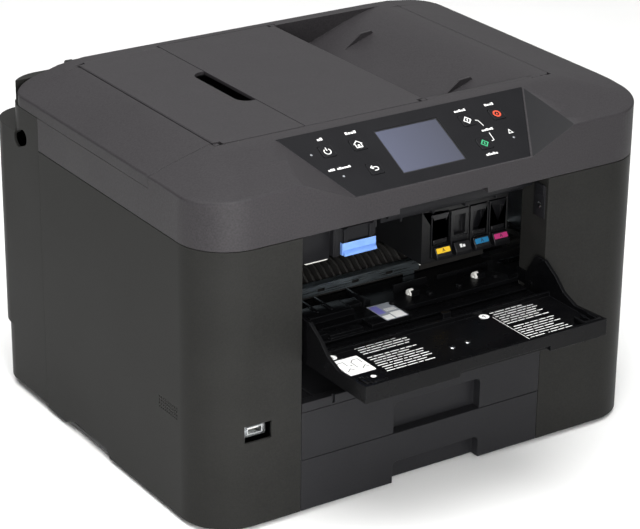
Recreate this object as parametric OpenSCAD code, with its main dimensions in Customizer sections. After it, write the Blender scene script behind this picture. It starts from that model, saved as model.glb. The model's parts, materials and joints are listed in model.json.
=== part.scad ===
// Desktop inkjet multifunction printer: two paper cassettes, a drop-down front cover over the print
// carriage, a flatbed scanner with a document feeder in its lid, and a sloping control panel.
// Lengths are millimetres. Inside each module y is measured back from the front panel, x from the
// centre line and z from the table; from_front() moves that into the part's own frame.

/* [Body] */
// Width across the side covers
body_w = 463; // [455:1:470]
// Depth from the front panel to the rear housing
body_d = 394; // [392:1:400]
// Height of the flat top of the lid
body_h = 318.5; // [318:0.5:322]
// Corner radius of the front pillars
front_r = 45; // [35:1:50]
// Corner radius of the rear housing
rear_r = 33; // [25:1:38]
// Wall of the outer covers
wall = 2.6; // [2:0.1:3]

/* [Front] */
// Left edge of the front opening
bay_l = -139; // [-142:0.5:-138.5]
// Right edge of the front opening
bay_r = 114.7; // [114.5:0.1:118]
// Height of the open cover's lip beyond the hinge
cover_h = 112.5; // [110:0.5:113]

/* [Paper] */
// Top of the lower cassette's front
lower_top = 52.8; // [52:0.1:53]
// Top of the upper cassette's front
upper_top = 98; // [97:0.1:98.1]
// Gap between a paper guide and the tray's side wall when set for the widest sheet
guide_gap = 8.5; // [8:0.5:14]

/* [Control panel] */
// Rise of the panel's facet from its front edge to its back edge
facet_rise = 36; // [34:0.5:36]
// Depth of the facet, front to back
facet_d = 72; // [70:0.5:72]
// Size of a square key
key_w = 13; // [11:0.5:14]
// Free height below a key's collar
key_room = 6.5; // [5:0.5:7]

/* [Hidden] */
$fn = 48;
slop = 0.3;
half_w = body_w / 2;
cover_pivot = [11, 156];
cover_reach = cover_h - 21.5;
front_y = (cover_reach - body_d) / 2;
floor_z = 5;
floor_t = 3;
skirt_z = 4.5;
body_top = 258.3;
seam_z = 259.1;
rear_seam = 291;
bay_wall_d = 36.4;
tunnel_l = bay_l + 2.5;
tunnel_r = bay_r - 2.5;
deck_z = 108;
shelf_z = 152;
shell_side = [0.24, 0.24, 0.245];
shell_top = [0.31, 0.305, 0.315];
panel_black = [0.17, 0.17, 0.18];
dark = [0.1, 0.1, 0.105];
steel = [0.72, 0.74, 0.76];
rubber = [0.13, 0.13, 0.13];
white_pom = [0.88, 0.88, 0.85];

// scanner deck, glass and lid
glass_z = 276.5;
lid_z = 281;
lid_front = 85;
lid_back = 346.5;
lid_r = 180.7;
strip_x = -171.4;
tray_l = -83;
tray_r = 43.5;
panel_t = 3.2;
hinge_d = 351;
hinge_z = 310;
hinge_x = [-150, 130];
knuckle_r = 5;
panel_edge = 2;
pin_r = 0.9;
pin_z = body_h - panel_edge;
cover_axle = [strip_x + 0.3 + panel_edge, pin_z];
flap_axle = [tray_r - 0.3 - panel_edge, pin_z];
cover_back = 331;
flap_back = 337;
edge_l = 301;
edge_r = 311.5;
edge_f = 304;
slope_d = 75;

// print engine
rod_d = 180;
rod_z = 190;
rod_r = 5;
run = 0.05;
tank_x = [33, 54, 75, 96];
tank_w = 18.6;
tank_hues = [[0.95, 0.8, 0.1], [0.9, 0.9, 0.9], [0.1, 0.55, 0.8], [0.8, 0.15, 0.5]];
pulley_x = 198;
pulley_z = 225;
pulley_r = 8;
feed_axle = [185, 132];
exit_axle = [105, 133];
pick_d = 344;
door_w = 299;
door_axle = [390, 72];

// keys on the facet: [across, up the slope]
key_spots = [[-84, 55], [-53, 55], [-53, 26], [61, 55], [93, 55], [61, 26]];
lcd_box = [-31, 14, 35, 66];
facet_len = sqrt(facet_rise * facet_rise + facet_d * facet_d);
facet_tilt = atan(facet_rise / facet_d);
facet_z = body_h - facet_rise;

module from_front() {
    translate([0, front_y, 0]) children();
}

// A box between two opposite corners
module block(a, b) {
    translate(a) cube(b - a);
}

// A cylinder along X between two x values
module rod_x(x0, x1, d, z, r) {
    translate([x0, d, z]) rotate([0, 90, 0]) cylinder(r = r, h = x1 - x0);
}

// A cylinder along Y between two depths
module rod_y(x, d0, d1, z, r) {
    translate([x, d1, z]) rotate([90, 0, 0]) cylinder(r = r, h = d1 - d0);
}

// Rectangle with one radius at the front corners and another at the rear
module plan(x0, x1, y0, y1, rf, rr) {
    translate([x0, y0 + rf]) square([x1 - x0, y1 - y0 - rf - rr]);
    translate([x0 + rf, y0]) square([x1 - x0 - 2 * rf, rf + 1]);
    translate([x0 + rr, y1 - rr - 1]) square([x1 - x0 - 2 * rr, rr + 1]);
    for (x = [x0 + rf, x1 - rf]) translate([x, y0 + rf]) circle(r = rf, $fn = 96);
    for (x = [x0 + rr, x1 - rr]) translate([x, y1 - rr]) circle(r = rr, $fn = 96);
}

// The body's outline as a solid, drawn in by a wall thickness
module hull_of_body(inset, z0, z1, back = body_d, rr = rear_r) {
    translate([0, 0, z0]) linear_extrude(z1 - z0)
        plan(-half_w + inset, half_w - inset, inset, back - inset, front_r - inset, rr - inset);
}

// Outer cover of one side, from the front opening round the pillar to the rear seam
module side_cover(x_in, sign) {
    outer = sign * half_w;
    difference() {
        intersection() {
            hull_of_body(0, skirt_z, body_top);
            block([min(x_in, outer + sign), -1, 0], [max(x_in, outer + sign), rear_seam - slop, 300]);
        }
        difference() {
            hull_of_body(wall, 0, 300);
            block([min(x_in, x_in + sign * wall), -1, 0],
                [max(x_in, x_in + sign * wall), bay_wall_d, 300]);
        }
        // hand hold along the bottom edge
        translate([outer - 5, 0, 0]) rotate([90, 0, 90]) linear_extrude(10)
            polygon([[166, 0], [178, 11], [236, 12.5], [255, 5], [255, 0]]);
    }
}

module left_cover() {
    color(shell_side) from_front() difference() {
        side_cover(bay_l - 0.6, -1);
        // front socket window
        block([-195, -1, 84], [-169, 30, 100]);
        // sounder grille
        for (row = [0:3]) for (col = [0:9])
            rod_x(-half_w - 1, -half_w + 5, 50 + col * 3.2, 96.5 + row * 3.2, 0.9);
    }
}

module right_cover() {
    color(shell_side) from_front() side_cover(bay_r + 0.6, 1);
}

// Rear shell: full depth below the shoulder, and a shallower hinge housing behind the lid
module rear_housing() {
    shoulder = 264;
    tower = 306.5;
    color(shell_side) from_front() difference() {
        union() {
            intersection() {
                hull_of_body(0, 64, shoulder);
                block([-250, rear_seam, 0], [250, 400, 300]);
            }
            intersection() {
                hull_of_body(0, 8, 64, body_d - 6);
                block([-250, rear_seam, 0], [250, 400, 300]);
            }
            intersection() {
                hull_of_body(0, shoulder - 5, tower, 361, 35);
                block([-250, rear_seam, 0], [250, 400, tower]);
            }
        }
        intersection() {
            hull_of_body(wall, 0, shoulder - wall, body_d - 6);
            block([-250, 0, 0], [250, 400, 300]);
        }
        block([-half_w - 1, 0, lid_z + 8.9], [half_w + 1, 348.4, 400]);
        block([-half_w + 6.5, 0, shoulder - 8], [half_w - 6.5, 348.4, 400]);
        // seats for the lid's hinges
        for (x = hinge_x) block([x - 21, 340, hinge_z - 5.8], [x + 21, 358, 320]);
        // transport cover opening
        block([-door_w / 2 - 0.5, 380, 68], [door_w / 2 + 0.5, 400, 236]);
        // sockets
        block([-205, 370, 24], [-175, 400, 46]);
        block([160, 370, 80], [202, 400, 104]);
        // grip scoop on each side of the shoulder
        for (side = [-1, 1]) for (d = [321:2:331])
            rod_x(side * half_w - 8, side * half_w + 8, d, 260 - (d - 326) * 0.4, 7.5);
    }
    // pins of the rear door
    color(shell_side) from_front() for (side = [-1, 1])
        rod_x(side * (door_w / 2 - 3) - 4, side * (door_w / 2 - 3) + 4, door_axle[0], door_axle[1], 1.5);
}

// Rear door over the paper path, hinged along its lower edge
module transport_cover() {
    w = door_w / 2;
    color(shell_side) from_front() difference() {
        union() {
            block([-w, 388.2, door_axle[1]], [w, 393.6, 235.5]);
            rod_x(-w, w, door_axle[0], door_axle[1], 3.5);
            for (x = [-110:20:110]) block([x - 1, 372, 90], [x + 1, 388.3, 225]);
        }
        for (side = [-1, 1])
            rod_x(side * (w - 4) - 5, side * (w - 4) + 5, door_axle[0], door_axle[1], 1.5 + run);
        // finger pull
        block([-30, 391, 216], [30, 400, 228]);
    }
}

module base_tray() {
    color(dark) from_front() difference() {
        union() {
            // floor
            translate([0, 0, floor_z]) linear_extrude(floor_t)
                plan(-half_w + 3, half_w - 3, 13, body_d - 9.2, 31, 24);
            // tunnel walls, with the runners that carry the cassettes and the output tray
            for (x = [tunnel_l - 3, tunnel_r]) block([x, 14, floor_z], [x + 3, 356, deck_z]);
            for (z = [50.6, 98.2]) {
                block([tunnel_l - 1, 14, z], [tunnel_l + 5, 325, z + 2.6]);
                block([tunnel_r - 5, 14, z], [tunnel_r + 1, 325, z + 2.6]);
            }
            // decks either side
            block([-half_w + 3.5, 60, deck_z], [tunnel_l, 340, deck_z + 3]);
            block([tunnel_r, 60, deck_z], [half_w - 3.5, 340, deck_z + 3]);
            // bearing posts for the pickup rollers
            for (x = [-70, 45]) block([x, 334, floor_z], [x + 5, 356, deck_z]);
        }
        rod_x(-80, 60, pick_d, 44, 3 + run);
        rod_x(-80, 60, pick_d, 92, 3 + run);
        // slots round the inner walls of the pillars
        block([bay_l - 0.9 - wall, 0, 4], [bay_l - 0.55, 46.5, 9]);
        block([bay_r + 0.55, 0, 4], [bay_r + 0.9 + wall, 46.5, 9]);
    }
}

// Drop-down front cover with its side arms, lying open
module front_cover() {
    reach = -cover_reach;
    x0 = -137;
    x1 = 112.5;
    color(dark) from_front() difference() {
        union() {
            // outer skin and raised rim
            block([x0, reach, 145], [x1, 20, 148.4]);
            block([x0, reach, 145], [x1, reach + 3, 160.5]);
            // inner panel
            block([x0 + 3, reach + 2, 151.6], [x1 - 3, -14, 154.2]);
            // stiffening ribs between skin and panel
            for (x = [-90:40:70]) block([x, reach + 2, 148], [x + 1.6, -14, 152]);
            // side arms
            for (x = [x0, x1 - 3.2]) translate([x, 0, 0]) rotate([90, 0, 90]) linear_extrude(3.2)
                polygon([[reach, 145], [reach, 160.5], [-51, 158], [-34, 164.5], [-23, 174.5],
                    [-7, 184.5], [6, 184.5], [19, 164], [20, 145]]);
            block([x0, -16, 148], [x1, -13, 158]);
            // latch post
            block([-4, -13.2, 148], [4, -9, 163]);
        }
        // finger notch in the lip, split from the outer face
        block([-42, reach - 1, 144], [52, reach + 5, 150]);
        rod_x(-200, 200, cover_pivot[0], cover_pivot[1], 2.5 + run);
    }
}

// Finger pocket with rounded upper corners
module pocket(x0, x1, z0, z1, depth) {
    r = 5;
    block([x0, -1, z0], [x1, depth, z1 - r]);
    block([x0 + r, -1, z0], [x1 - r, depth, z1]);
    for (x = [x0 + r, x1 - r]) rod_y(x, -1, depth, z1 - r, r);
}

// Hollow paper tray with its front panel; the handle is a pocket in the front
module cassette(z0, z1, floor_in, top_in, handle) {
    difference() {
        union() {
            block([bay_l, 0, z0], [bay_r, 12, z1]);
            difference() {
                block([tunnel_l + 5.4, 11, floor_in], [tunnel_r - 5.4, 330, top_in]);
                block([tunnel_l + 8, 14, floor_in + 2.5], [tunnel_r - 8, 327.5, top_in + 5]);
            }
            // side flanges that run over the runners
            block([tunnel_l + 0.5, 13, floor_in + 3], [tunnel_l + 6, 320, floor_in + 5.4]);
            block([tunnel_r - 6, 13, floor_in + 3], [tunnel_r - 0.5, 320, floor_in + 5.4]);
        }
        pocket(-44, 49, handle[0], handle[1], 9.5);
        // hollow front panel
        block([bay_l + 2.5, 2.5, z0 + 2.5], [-46.5, 9.5, z1 - 2.5]);
        block([51.5, 2.5, z0 + 2.5], [bay_r - 2.5, 9.5, z1 - 2.5]);
        // rack slots for the guides
        block([-100, 120, floor_in - 1], [80, 124, floor_in + 3]);
    }
}

module cassette_lower() {
    color(shell_side) from_front() cassette(skirt_z, lower_top, 8.4, 50.2, [0, 25]);
}

module cassette_upper() {
    color(shell_side) from_front() cassette(lower_top + 0.7, upper_top, 53.6, 97.6, [50, 83]);
}

// Paper guide: an upright fence on a foot that slides across the tray floor
module paper_guide(floor_in, sign) {
    x = sign < 0 ? tunnel_l + 8 + guide_gap : tunnel_r - 8 - guide_gap;
    z = floor_in + 2.8;
    block([min(x, x + sign * 2), 90, z], [max(x, x + sign * 2), 190, z + 34]);
    block([min(x, x - sign * 40), 105, z], [max(x, x - sign * 40), 117, z + 1.6]);
    block([min(x, x + sign * 7), 130, z], [max(x, x + sign * 7), 150, z + 14]);
}

module lower_guide_left() { color(shell_top) from_front() paper_guide(8.4, -1); }
module lower_guide_right() { color(shell_top) from_front() translate([0, 22, 0]) paper_guide(8.4, 1); }
module upper_guide_left() { color(shell_top) from_front() paper_guide(53.6, -1); }
module upper_guide_right() { color(shell_top) from_front() translate([0, 22, 0]) paper_guide(53.6, 1); }

// Sliding shelf that catches the prints
module output_tray() {
    color(shell_side) from_front() difference() {
        union() {
            block([tunnel_l + 0.6, 8, 101.1], [tunnel_r - 0.6, 250, 104]);
            block([bay_l + 0.3, 0, upper_top + 0.4], [bay_r - 0.3, 9, 107]);
            for (x = [-120:40:80]) block([x, 10, 103.8], [x + 2, 240, 105.6]);
        }
        // pocket for the extension
        block([-70.5, -1, 101.9], [50.5, 205, 107.5]);
        block([-108, -1, 100], [-105.5, 3, 108]);
    }
}

module output_extension() {
    color(shell_top) from_front() {
        block([-70, 0.2, 102.2], [50, 200, 103.9]);
        block([-70, 0.2, 103.7], [50, 4, 106.8]);
    }
}

// Folded steel frame that carries the carriage and the rollers
module chassis() {
    z0 = deck_z + 3.1;
    color(steel) from_front() difference() {
        union() {
            for (x = [-216, 214.5]) block([x, 95, z0], [x + 1.5, 300, 254]);
            block([-216, 196, 168], [216, 197.5, 250]);
            block([-214.6, 180, 248.5], [214.6, 197, 250]);
            for (x = [-216, 200]) block([x, 210, z0], [x + 16, 290, z0 + 1.5]);
        }
        rod_x(-230, 230, feed_axle[0], feed_axle[1], 4 + run);
        rod_x(-230, 230, exit_axle[0], exit_axle[1], 3 + run);
        rod_y(-pulley_x, 190, 200, pulley_z, 5);
        for (x = [-160:40:160]) block([x - 12, 190, 180], [x + 12, 200, 205]);
    }
}

module guide_rod() {
    color(steel) from_front() rod_x(-214.3, 214.3, rod_d, rod_z, rod_r);
}

// Carriage with four tank bays in front and the print head behind
module carriage() {
    x0 = 14;
    x1 = 108;
    color(dark) from_front() difference() {
        union() {
            block([x0, 46, 182.5], [x1, 120, 232]);
            block([x0, 118, 158], [x1, 166, 226]);
            block([x0 + 6, 120, 142.6], [x1 - 6, 158, 160]);
            block([x0, 160, 176], [x1, 191, 204]);
            block([50, 184, 200], [72, 193.5, 215.3]);
            block([50, 184, 217.3], [72, 193.5, 222]);
            block([50, 184, 200], [72, 185.6, 222]);
        }
        for (x = tank_x)
            block([x - tank_w / 2 - 0.4, 40, 186], [x + tank_w / 2 + 0.4, 113.5, 228]);
        // hollow over the print head
        block([x0 + 4, 122, 164], [x1 - 4, 162, 230]);
        rod_x(0, 120, rod_d, rod_z, rod_r + run);
        block([x0 + 10, 170, 170], [x1 - 10, 192, 183]);
    }
}

// Ink tank that pushes in from the front, with a sloped label nose
module tank(n) {
    x = tank_x[n];
    color(panel_black) from_front() difference() {
        union() {
            block([x - tank_w / 2, 45, 186.4], [x + tank_w / 2, 112, 227.4]);
            translate([x - tank_w / 2 + 1, 0, 0]) rotate([90, 0, 90]) linear_extrude(tank_w - 2)
                polygon([[46, 187], [37, 187], [37, 191], [41.5, 198], [46, 198]]);
        }
        block([x - 6, 44, 204], [x + 6, 50, 222]);
    }
    color(tank_hues[n]) from_front() block([x - 7, 44.2, 199.5], [x + 7, 45, 203]);
}

module tank_yellow() { tank(0); }
module tank_black() { tank(1); }
module tank_cyan() { tank(2); }
module tank_magenta() { tank(3); }

// Closed loop of timing belt between the two pulleys
module carriage_belt() {
    color(rubber) from_front() translate([0, 192, pulley_z]) rotate([90, 0, 0]) linear_extrude(6)
        difference() {
            for (x = [-pulley_x, pulley_x]) translate([x, 0]) circle(r = pulley_r + 1.3);
            for (x = [-pulley_x, pulley_x]) translate([x, 0]) circle(r = pulley_r + 0.1);
            translate([-pulley_x, -20]) square([2 * pulley_x, 40]);
        }
    color(rubber) from_front() for (z = [pulley_z - pulley_r - 1.3, pulley_z + pulley_r + 0.1])
        block([-pulley_x, 186, z], [pulley_x, 192, z + 1.2]);
}

module pulley(x, r_bore) {
    difference() {
        union() {
            rod_y(x, 186, 192, pulley_z, pulley_r);
            rod_y(x, 184.8, 185.8, pulley_z, pulley_r + 1);
            rod_y(x, 192.2, 193.2, pulley_z, pulley_r + 1);
            rod_y(x, 185, 193, pulley_z, pulley_r - 1);
        }
        rod_y(x, 180, 200, pulley_z, r_bore);
    }
}

module drive_pulley() {
    color(white_pom) from_front() pulley(-pulley_x, 1.4);
    color(steel) from_front() rod_y(-pulley_x, 184.5, 204, pulley_z, 1.5);
}

module idler_pulley() {
    color(white_pom) from_front() pulley(pulley_x, 2 + run);
}

// Two identical direct-current motors, and the idler's fixed stud
module motors() {
    color(steel) from_front() {
        difference() {
            rod_y(-pulley_x, 198, 236, pulley_z, 14);
            rod_y(-pulley_x, 190, 206, pulley_z, 1.5 + run);
        }
        difference() {
            rod_x(-213.5, -175.5, 250, 132, 14);
            rod_x(-214, -200, 250, 132, 2);
        }
        rod_y(pulley_x, 184, 196, pulley_z, 2);
    }
}

// Shaft with soft sleeves that move the sheet
module paper_shaft(axle, r_shaft, r_roll, x0, x1, step) {
    rod_x(x0, x1, axle[0], axle[1], r_shaft);
    for (x = [-118:step:90]) rod_x(x, x + step * 0.55, axle[0], axle[1], r_roll);
}

module feed_roller() {
    color(steel) from_front() paper_shaft(feed_axle, 4, 8, -220, 219, 52);
}

module exit_roller() {
    color(rubber) from_front() paper_shaft(exit_axle, 3, 6.5, -220, 219, 26);
}

// Bright holder for the star wheels above the exit
module star_wheel_bar() {
    color(steel) from_front() difference() {
        union() {
            block([-136, 76.5, 163], [34, 77.7, 172.5]);
            block([-136, 76.5, 171.5], [34, 84.5, 172.5]);
            block([-136, 83.5, 156.4], [-124, 84.5, 172.5]);
            block([22, 83.5, 156.4], [34, 84.5, 172.5]);
        }
        for (x = [-110:36:10]) block([x, 76, 165.5], [x + 8, 78, 168.5]);
    }
    color(white_pom) from_front() block([34, 77.5, 166], [43, 83, 171]);
}

// Ribbed bed that holds the sheet flat under the print head
module platen() {
    color(dark) from_front() {
        block([-128, 114, 127], [104, 168, 138]);
        for (x = [-124:9.5:100]) block([x, 116, 137.8], [x + 1.6, 166, 140.4]);
        block([tunnel_l - 3, 120, deck_z + 3.1], [-127, 160, 138]);
        block([103, 120, deck_z + 3.1], [tunnel_r + 3, 160, 138]);
    }
}

// Ribbed guide that the finished sheet slides under
module exit_guide() {
    color(dark) from_front() {
        block([-136, 85.3, 157], [112, 96.7, 168]);
        for (x = [-134:7:106]) translate([x, 0, 0]) rotate([90, 0, 90]) linear_extrude(2)
            polygon([[85.3, 167.5], [85.3, 169.5], [97, 178.5], [107, 180.5], [112, 180.5],
                [112, 176], [96.5, 167.5]]);
    }
}

// Black shelf behind the front cover, carrying the cover's pivot pins
module inner_shelf() {
    color(dark) from_front() {
        difference() {
            block([bay_l - 0.4, 28.5, shelf_z], [bay_r + 0.4, 96, shelf_z + 4]);
            for (x = [-100, -20, 60]) block([x, 60, shelf_z - 1], [x + 30, 90, shelf_z + 2.4]);
            // corners clear of the cover's arms
            block([bay_l - 1, 28, shelf_z - 1], [bay_l + 6.2, 35, shelf_z + 5]);
            block([bay_r - 6.2, 28, shelf_z - 1], [bay_r + 1, 35, shelf_z + 5]);
        }
        // raised boxes beside the sheet path
        block([-110, 40, shelf_z + 3.9], [-60, 62, shelf_z + 9]);
        for (x = [4, 76]) block([x, 44, shelf_z + 3.9], [x + 8, 52, shelf_z + 8]);
        // brackets reaching forward to the pivots
        for (x = [bay_l - 0.4, bay_r - 1.2]) block([x, 5, 150], [x + 1.6, 38, 162]);
        rod_x(bay_l + 0.9, bay_l + 6, cover_pivot[0], cover_pivot[1], 2.5);
        rod_x(bay_r - 6, bay_r - 0.9, cover_pivot[0], cover_pivot[1], 2.5);
    }
}

// Blue release lever hanging in front of the carriage's path
module lock_lever() {
    color([0.45, 0.62, 0.92]) from_front() {
        block([-82, 27, 220], [-48, 31, 231]);
        for (x = [-80, -54]) block([x, 28, 228], [x + 4, 40, 243]);
        rod_x(-86.4, -43.6, 38, 241, 2);
        rod_x(-82.4, -47.6, 38, 241, 3.4);
    }
}

// Spindle with a rubber tyre that takes the top sheet
module pickup(z) {
    color(white_pom) from_front() rod_x(-68.5, 48.5, pick_d, z, 3);
    color(rubber) from_front() for (x = [-38, 4]) rod_x(x, x + 22, pick_d, z, 10);
}

module pickup_upper() { pickup(92); }
module pickup_lower() { pickup(44); }

// Capping and wiping station where the carriage parks
module maintenance_unit() {
    z0 = deck_z + 3.1;
    color(panel_black) from_front() difference() {
        block([122, 112, z0], [206, 170, 140]);
        block([128, 120, z0 + 4], [162, 160, 141]);
        block([168, 120, z0 + 10], [200, 160, 141]);
    }
    color(rubber) from_front() difference() {
        block([172, 126, z0 + 9.9], [196, 154, 141.2]);
        block([175, 129, 136], [193, 151, 142]);
    }
}

module power_supply() {
    color(panel_black) from_front() difference() {
        block([-214, 210, floor_z + floor_t + 0.1], [-148, 340, 66]);
        for (d = [225:8:325]) block([-216, d, 25], [-211, d + 3, 55]);
        for (d = [225:8:325]) block([-151, d, 25], [-147, d + 3, 55]);
    }
}

// Controller board on its stand-offs
module main_board() {
    z = floor_z + floor_t + 0.1;
    color([0.1, 0.4, 0.2]) from_front() {
        block([124, 150, z + 8], [222, 340, z + 9.6]);
        for (x = [128, 214]) for (d = [156, 330]) translate([x, d, z]) cylinder(r = 3, h = 8.1);
    }
    color(dark) from_front() {
        block([150, 220, z + 9.5], [178, 248, z + 12]);
        block([190, 200, z + 9.5], [206, 224, z + 13]);
        for (d = [170, 190, 270, 290]) block([130, d, z + 9.5], [138, d + 14, z + 18]);
    }
}

// Mains inlet and the two data sockets at the back
module rear_sockets() {
    color(dark) from_front() difference() {
        block([-204.5, 366, 24.5], [-175.5, 387.8, 45.5]);
        block([-200, 374, 28], [-180, 390, 42]);
    }
    color(steel) from_front() for (x = [-193, -187]) rod_y(x, 370, 384, 35, 1.2);
    color(steel) from_front() {
        difference() {
            block([161, 372, 81], [177, 393.4, 93]);
            block([162.2, 376, 82.2], [175.8, 395, 91.8]);
        }
        difference() {
            block([182, 372, 81], [200, 393.4, 97]);
            block([183.2, 376, 82.2], [198.8, 395, 95.8]);
        }
    }
}

// Front socket: a steel shell in a dark surround
module usb_port() {
    color(dark) from_front() difference() {
        block([-193.5, 8, 85.5], [-170.5, 26, 98.5]);
        block([-189.6, 7, 88.3], [-174.4, 24, 95.7]);
    }
    color(steel) from_front() difference() {
        block([-189.4, 6, 88.5], [-174.6, 22, 95.5]);
        block([-188.6, 5, 89.3], [-175.4, 20, 94.7]);
    }
    color(white_pom) from_front() block([-187.5, 9, 92], [-176.5, 21, 94]);
}

// Everything above the sloping planes of the machine's top
module above_slopes() {
    translate([0, 0, edge_f]) rotate([atan((body_h - edge_f) / slope_d), 0, 0])
        block([-300, -50, 0], [300, 200, 60]);
    translate([-half_w, 0, edge_l]) rotate([0, -atan((body_h - edge_l) / (half_w + strip_x)), 0])
        block([-50, -50, 0], [200, 500, 60]);
    translate([half_w, 0, edge_r]) rotate([0, atan((body_h - edge_r) / (half_w - lid_r)), 0])
        block([-200, -50, 0], [50, 500, 60]);
}

// Wedge cut out of the top for the control panel
module panel_wedge() {
    polyhedron(points = [[-124, facet_d, body_h], [139, facet_d, body_h], [95.6, -0.5, facet_z - 0.25],
        [-88, -0.5, facet_z - 0.25], [143, -0.5, edge_f + 1], [-141, -0.5, edge_f + 1],
        [-124, facet_d, 330], [139, facet_d, 330], [143, -0.5, 330], [-141, -0.5, 330]],
        faces = [[0, 3, 2, 1], [0, 5, 3], [0, 6, 9, 5], [1, 2, 4], [1, 4, 8, 7], [3, 5, 9, 8, 4, 2],
            [6, 7, 8, 9], [0, 1, 7, 6]]);
}

// Places its children on the facet: x across, y up the slope, z out of the panel
module on_facet() {
    translate([0, 0, facet_z]) rotate([facet_tilt, 0, 0]) children();
}

// Outline of the facet drawn in by a margin
module facet_outline(inset) {
    polygon([[-88 + inset, inset], [95.6 - inset, inset], [139 - 2 * inset, facet_len - inset],
        [-124 + 2 * inset, facet_len - inset]]);
}

module key_square(size) {
    r = 2;
    h = size / 2;
    square([size - 2 * r, size], center = true);
    square([size, size - 2 * r], center = true);
    for (x = [-h + r, h - r]) for (y = [-h + r, h - r]) translate([x, y]) circle(r = r);
}

module scanner_base() {
    color(shell_top) from_front() difference() {
        union() {
            intersection() {
                hull_of_body(0, seam_z, body_h);
                block([-250, -1, 0], [250, rear_seam - slop, 400]);
            }
            block([-half_w + 7, 200, seam_z + 5.3], [half_w - 7, lid_back, glass_z]);
            intersection() {
                hull_of_body(0, lid_z + 9.2, body_h, lid_back, 24);
                block([lid_r + slop, 200, 0], [half_w, 400, 400]);
            }
        }
        above_slopes();
        // space for the lid
        block([-half_w + 7, lid_front - slop + 7, glass_z], [strip_x, 400, 400]);
        block([-half_w - 1, lid_front - slop + 7, lid_z + 9], [strip_x, 400, 400]);
        block([strip_x - 0.5, lid_front - slop, glass_z], [lid_r + slop, 400, 400]);
        block([185, 200, lid_z + 7], [half_w - 5, 340, 305]);
        // scan chamber and the glass in its rebate
        block([-218, 90, seam_z + 2.5], [174, 338, 271.4]);
        block([-152, 104, 270], [154, 324, 280]);
        block([-158.2, 97.8, 273.4], [160.2, 330.2, 280]);
        // right and front hollows
        block([182, 60, seam_z + 2.5], [226, 330, 274]);
        block([-130, 12, seam_z + 2.5], [145, 86, 277]);
        translate([-128, 40, 270]) cube([268, 40, 24]);
        panel_wedge();
        on_facet() translate([0, 0, -2.2]) linear_extrude(4) facet_outline(1.2);
        // room for the keys' stems and the screen
        for (k = key_spots) on_facet() translate([k[0], k[1], -5.5 - key_room]) linear_extrude(12)
            key_square(key_w + 3);
        on_facet() block([lcd_box[0] - 2, lcd_box[1] - 2, -9], [lcd_box[2] + 2, lcd_box[3] + 2, 1]);
        // finger recess over the front cover
        block([-43, -1, 250], [49, 9, 264]);
    }
    // ears for the release lever
    color(dark) from_front() for (x = [-86.7, -46.3]) difference() {
        block([x, 33, 236], [x + 3, 43, seam_z + 0.1]);
        rod_x(x - 1, x + 4, 38, 241, 2 + run);
    }
}

module platen_glass() {
    color([0.75, 0.85, 0.85, 0.5]) from_front()
        block([-158, 98, 273.5], [160, 330, glass_z - 0.1]);
}

// Contact image sensor on its slider
module scan_bar() {
    color(panel_black) from_front() difference() {
        block([-188, 104, 262.6], [-168, 324, 270.6]);
        block([-181, 106, 269.4], [-175, 322, 272]);
        rod_x(-200, -150, 214, 266, 2.5 + run);
    }
    color(white_pom) from_front() block([-180.5, 106.5, 269.3], [-175.5, 321.5, 270.3]);
}

module scan_rail() {
    color(steel) from_front() rod_x(-217.8, 173.8, 214, 266, 2.5);
}

// Slope of the output basin as [x, z] points
function ramp(drop) = [for (t = [0:0.1:1]) [tray_r + t * 128, 287 - drop + 31.5 * t * t * (3 - 2 * t)]];

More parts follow.
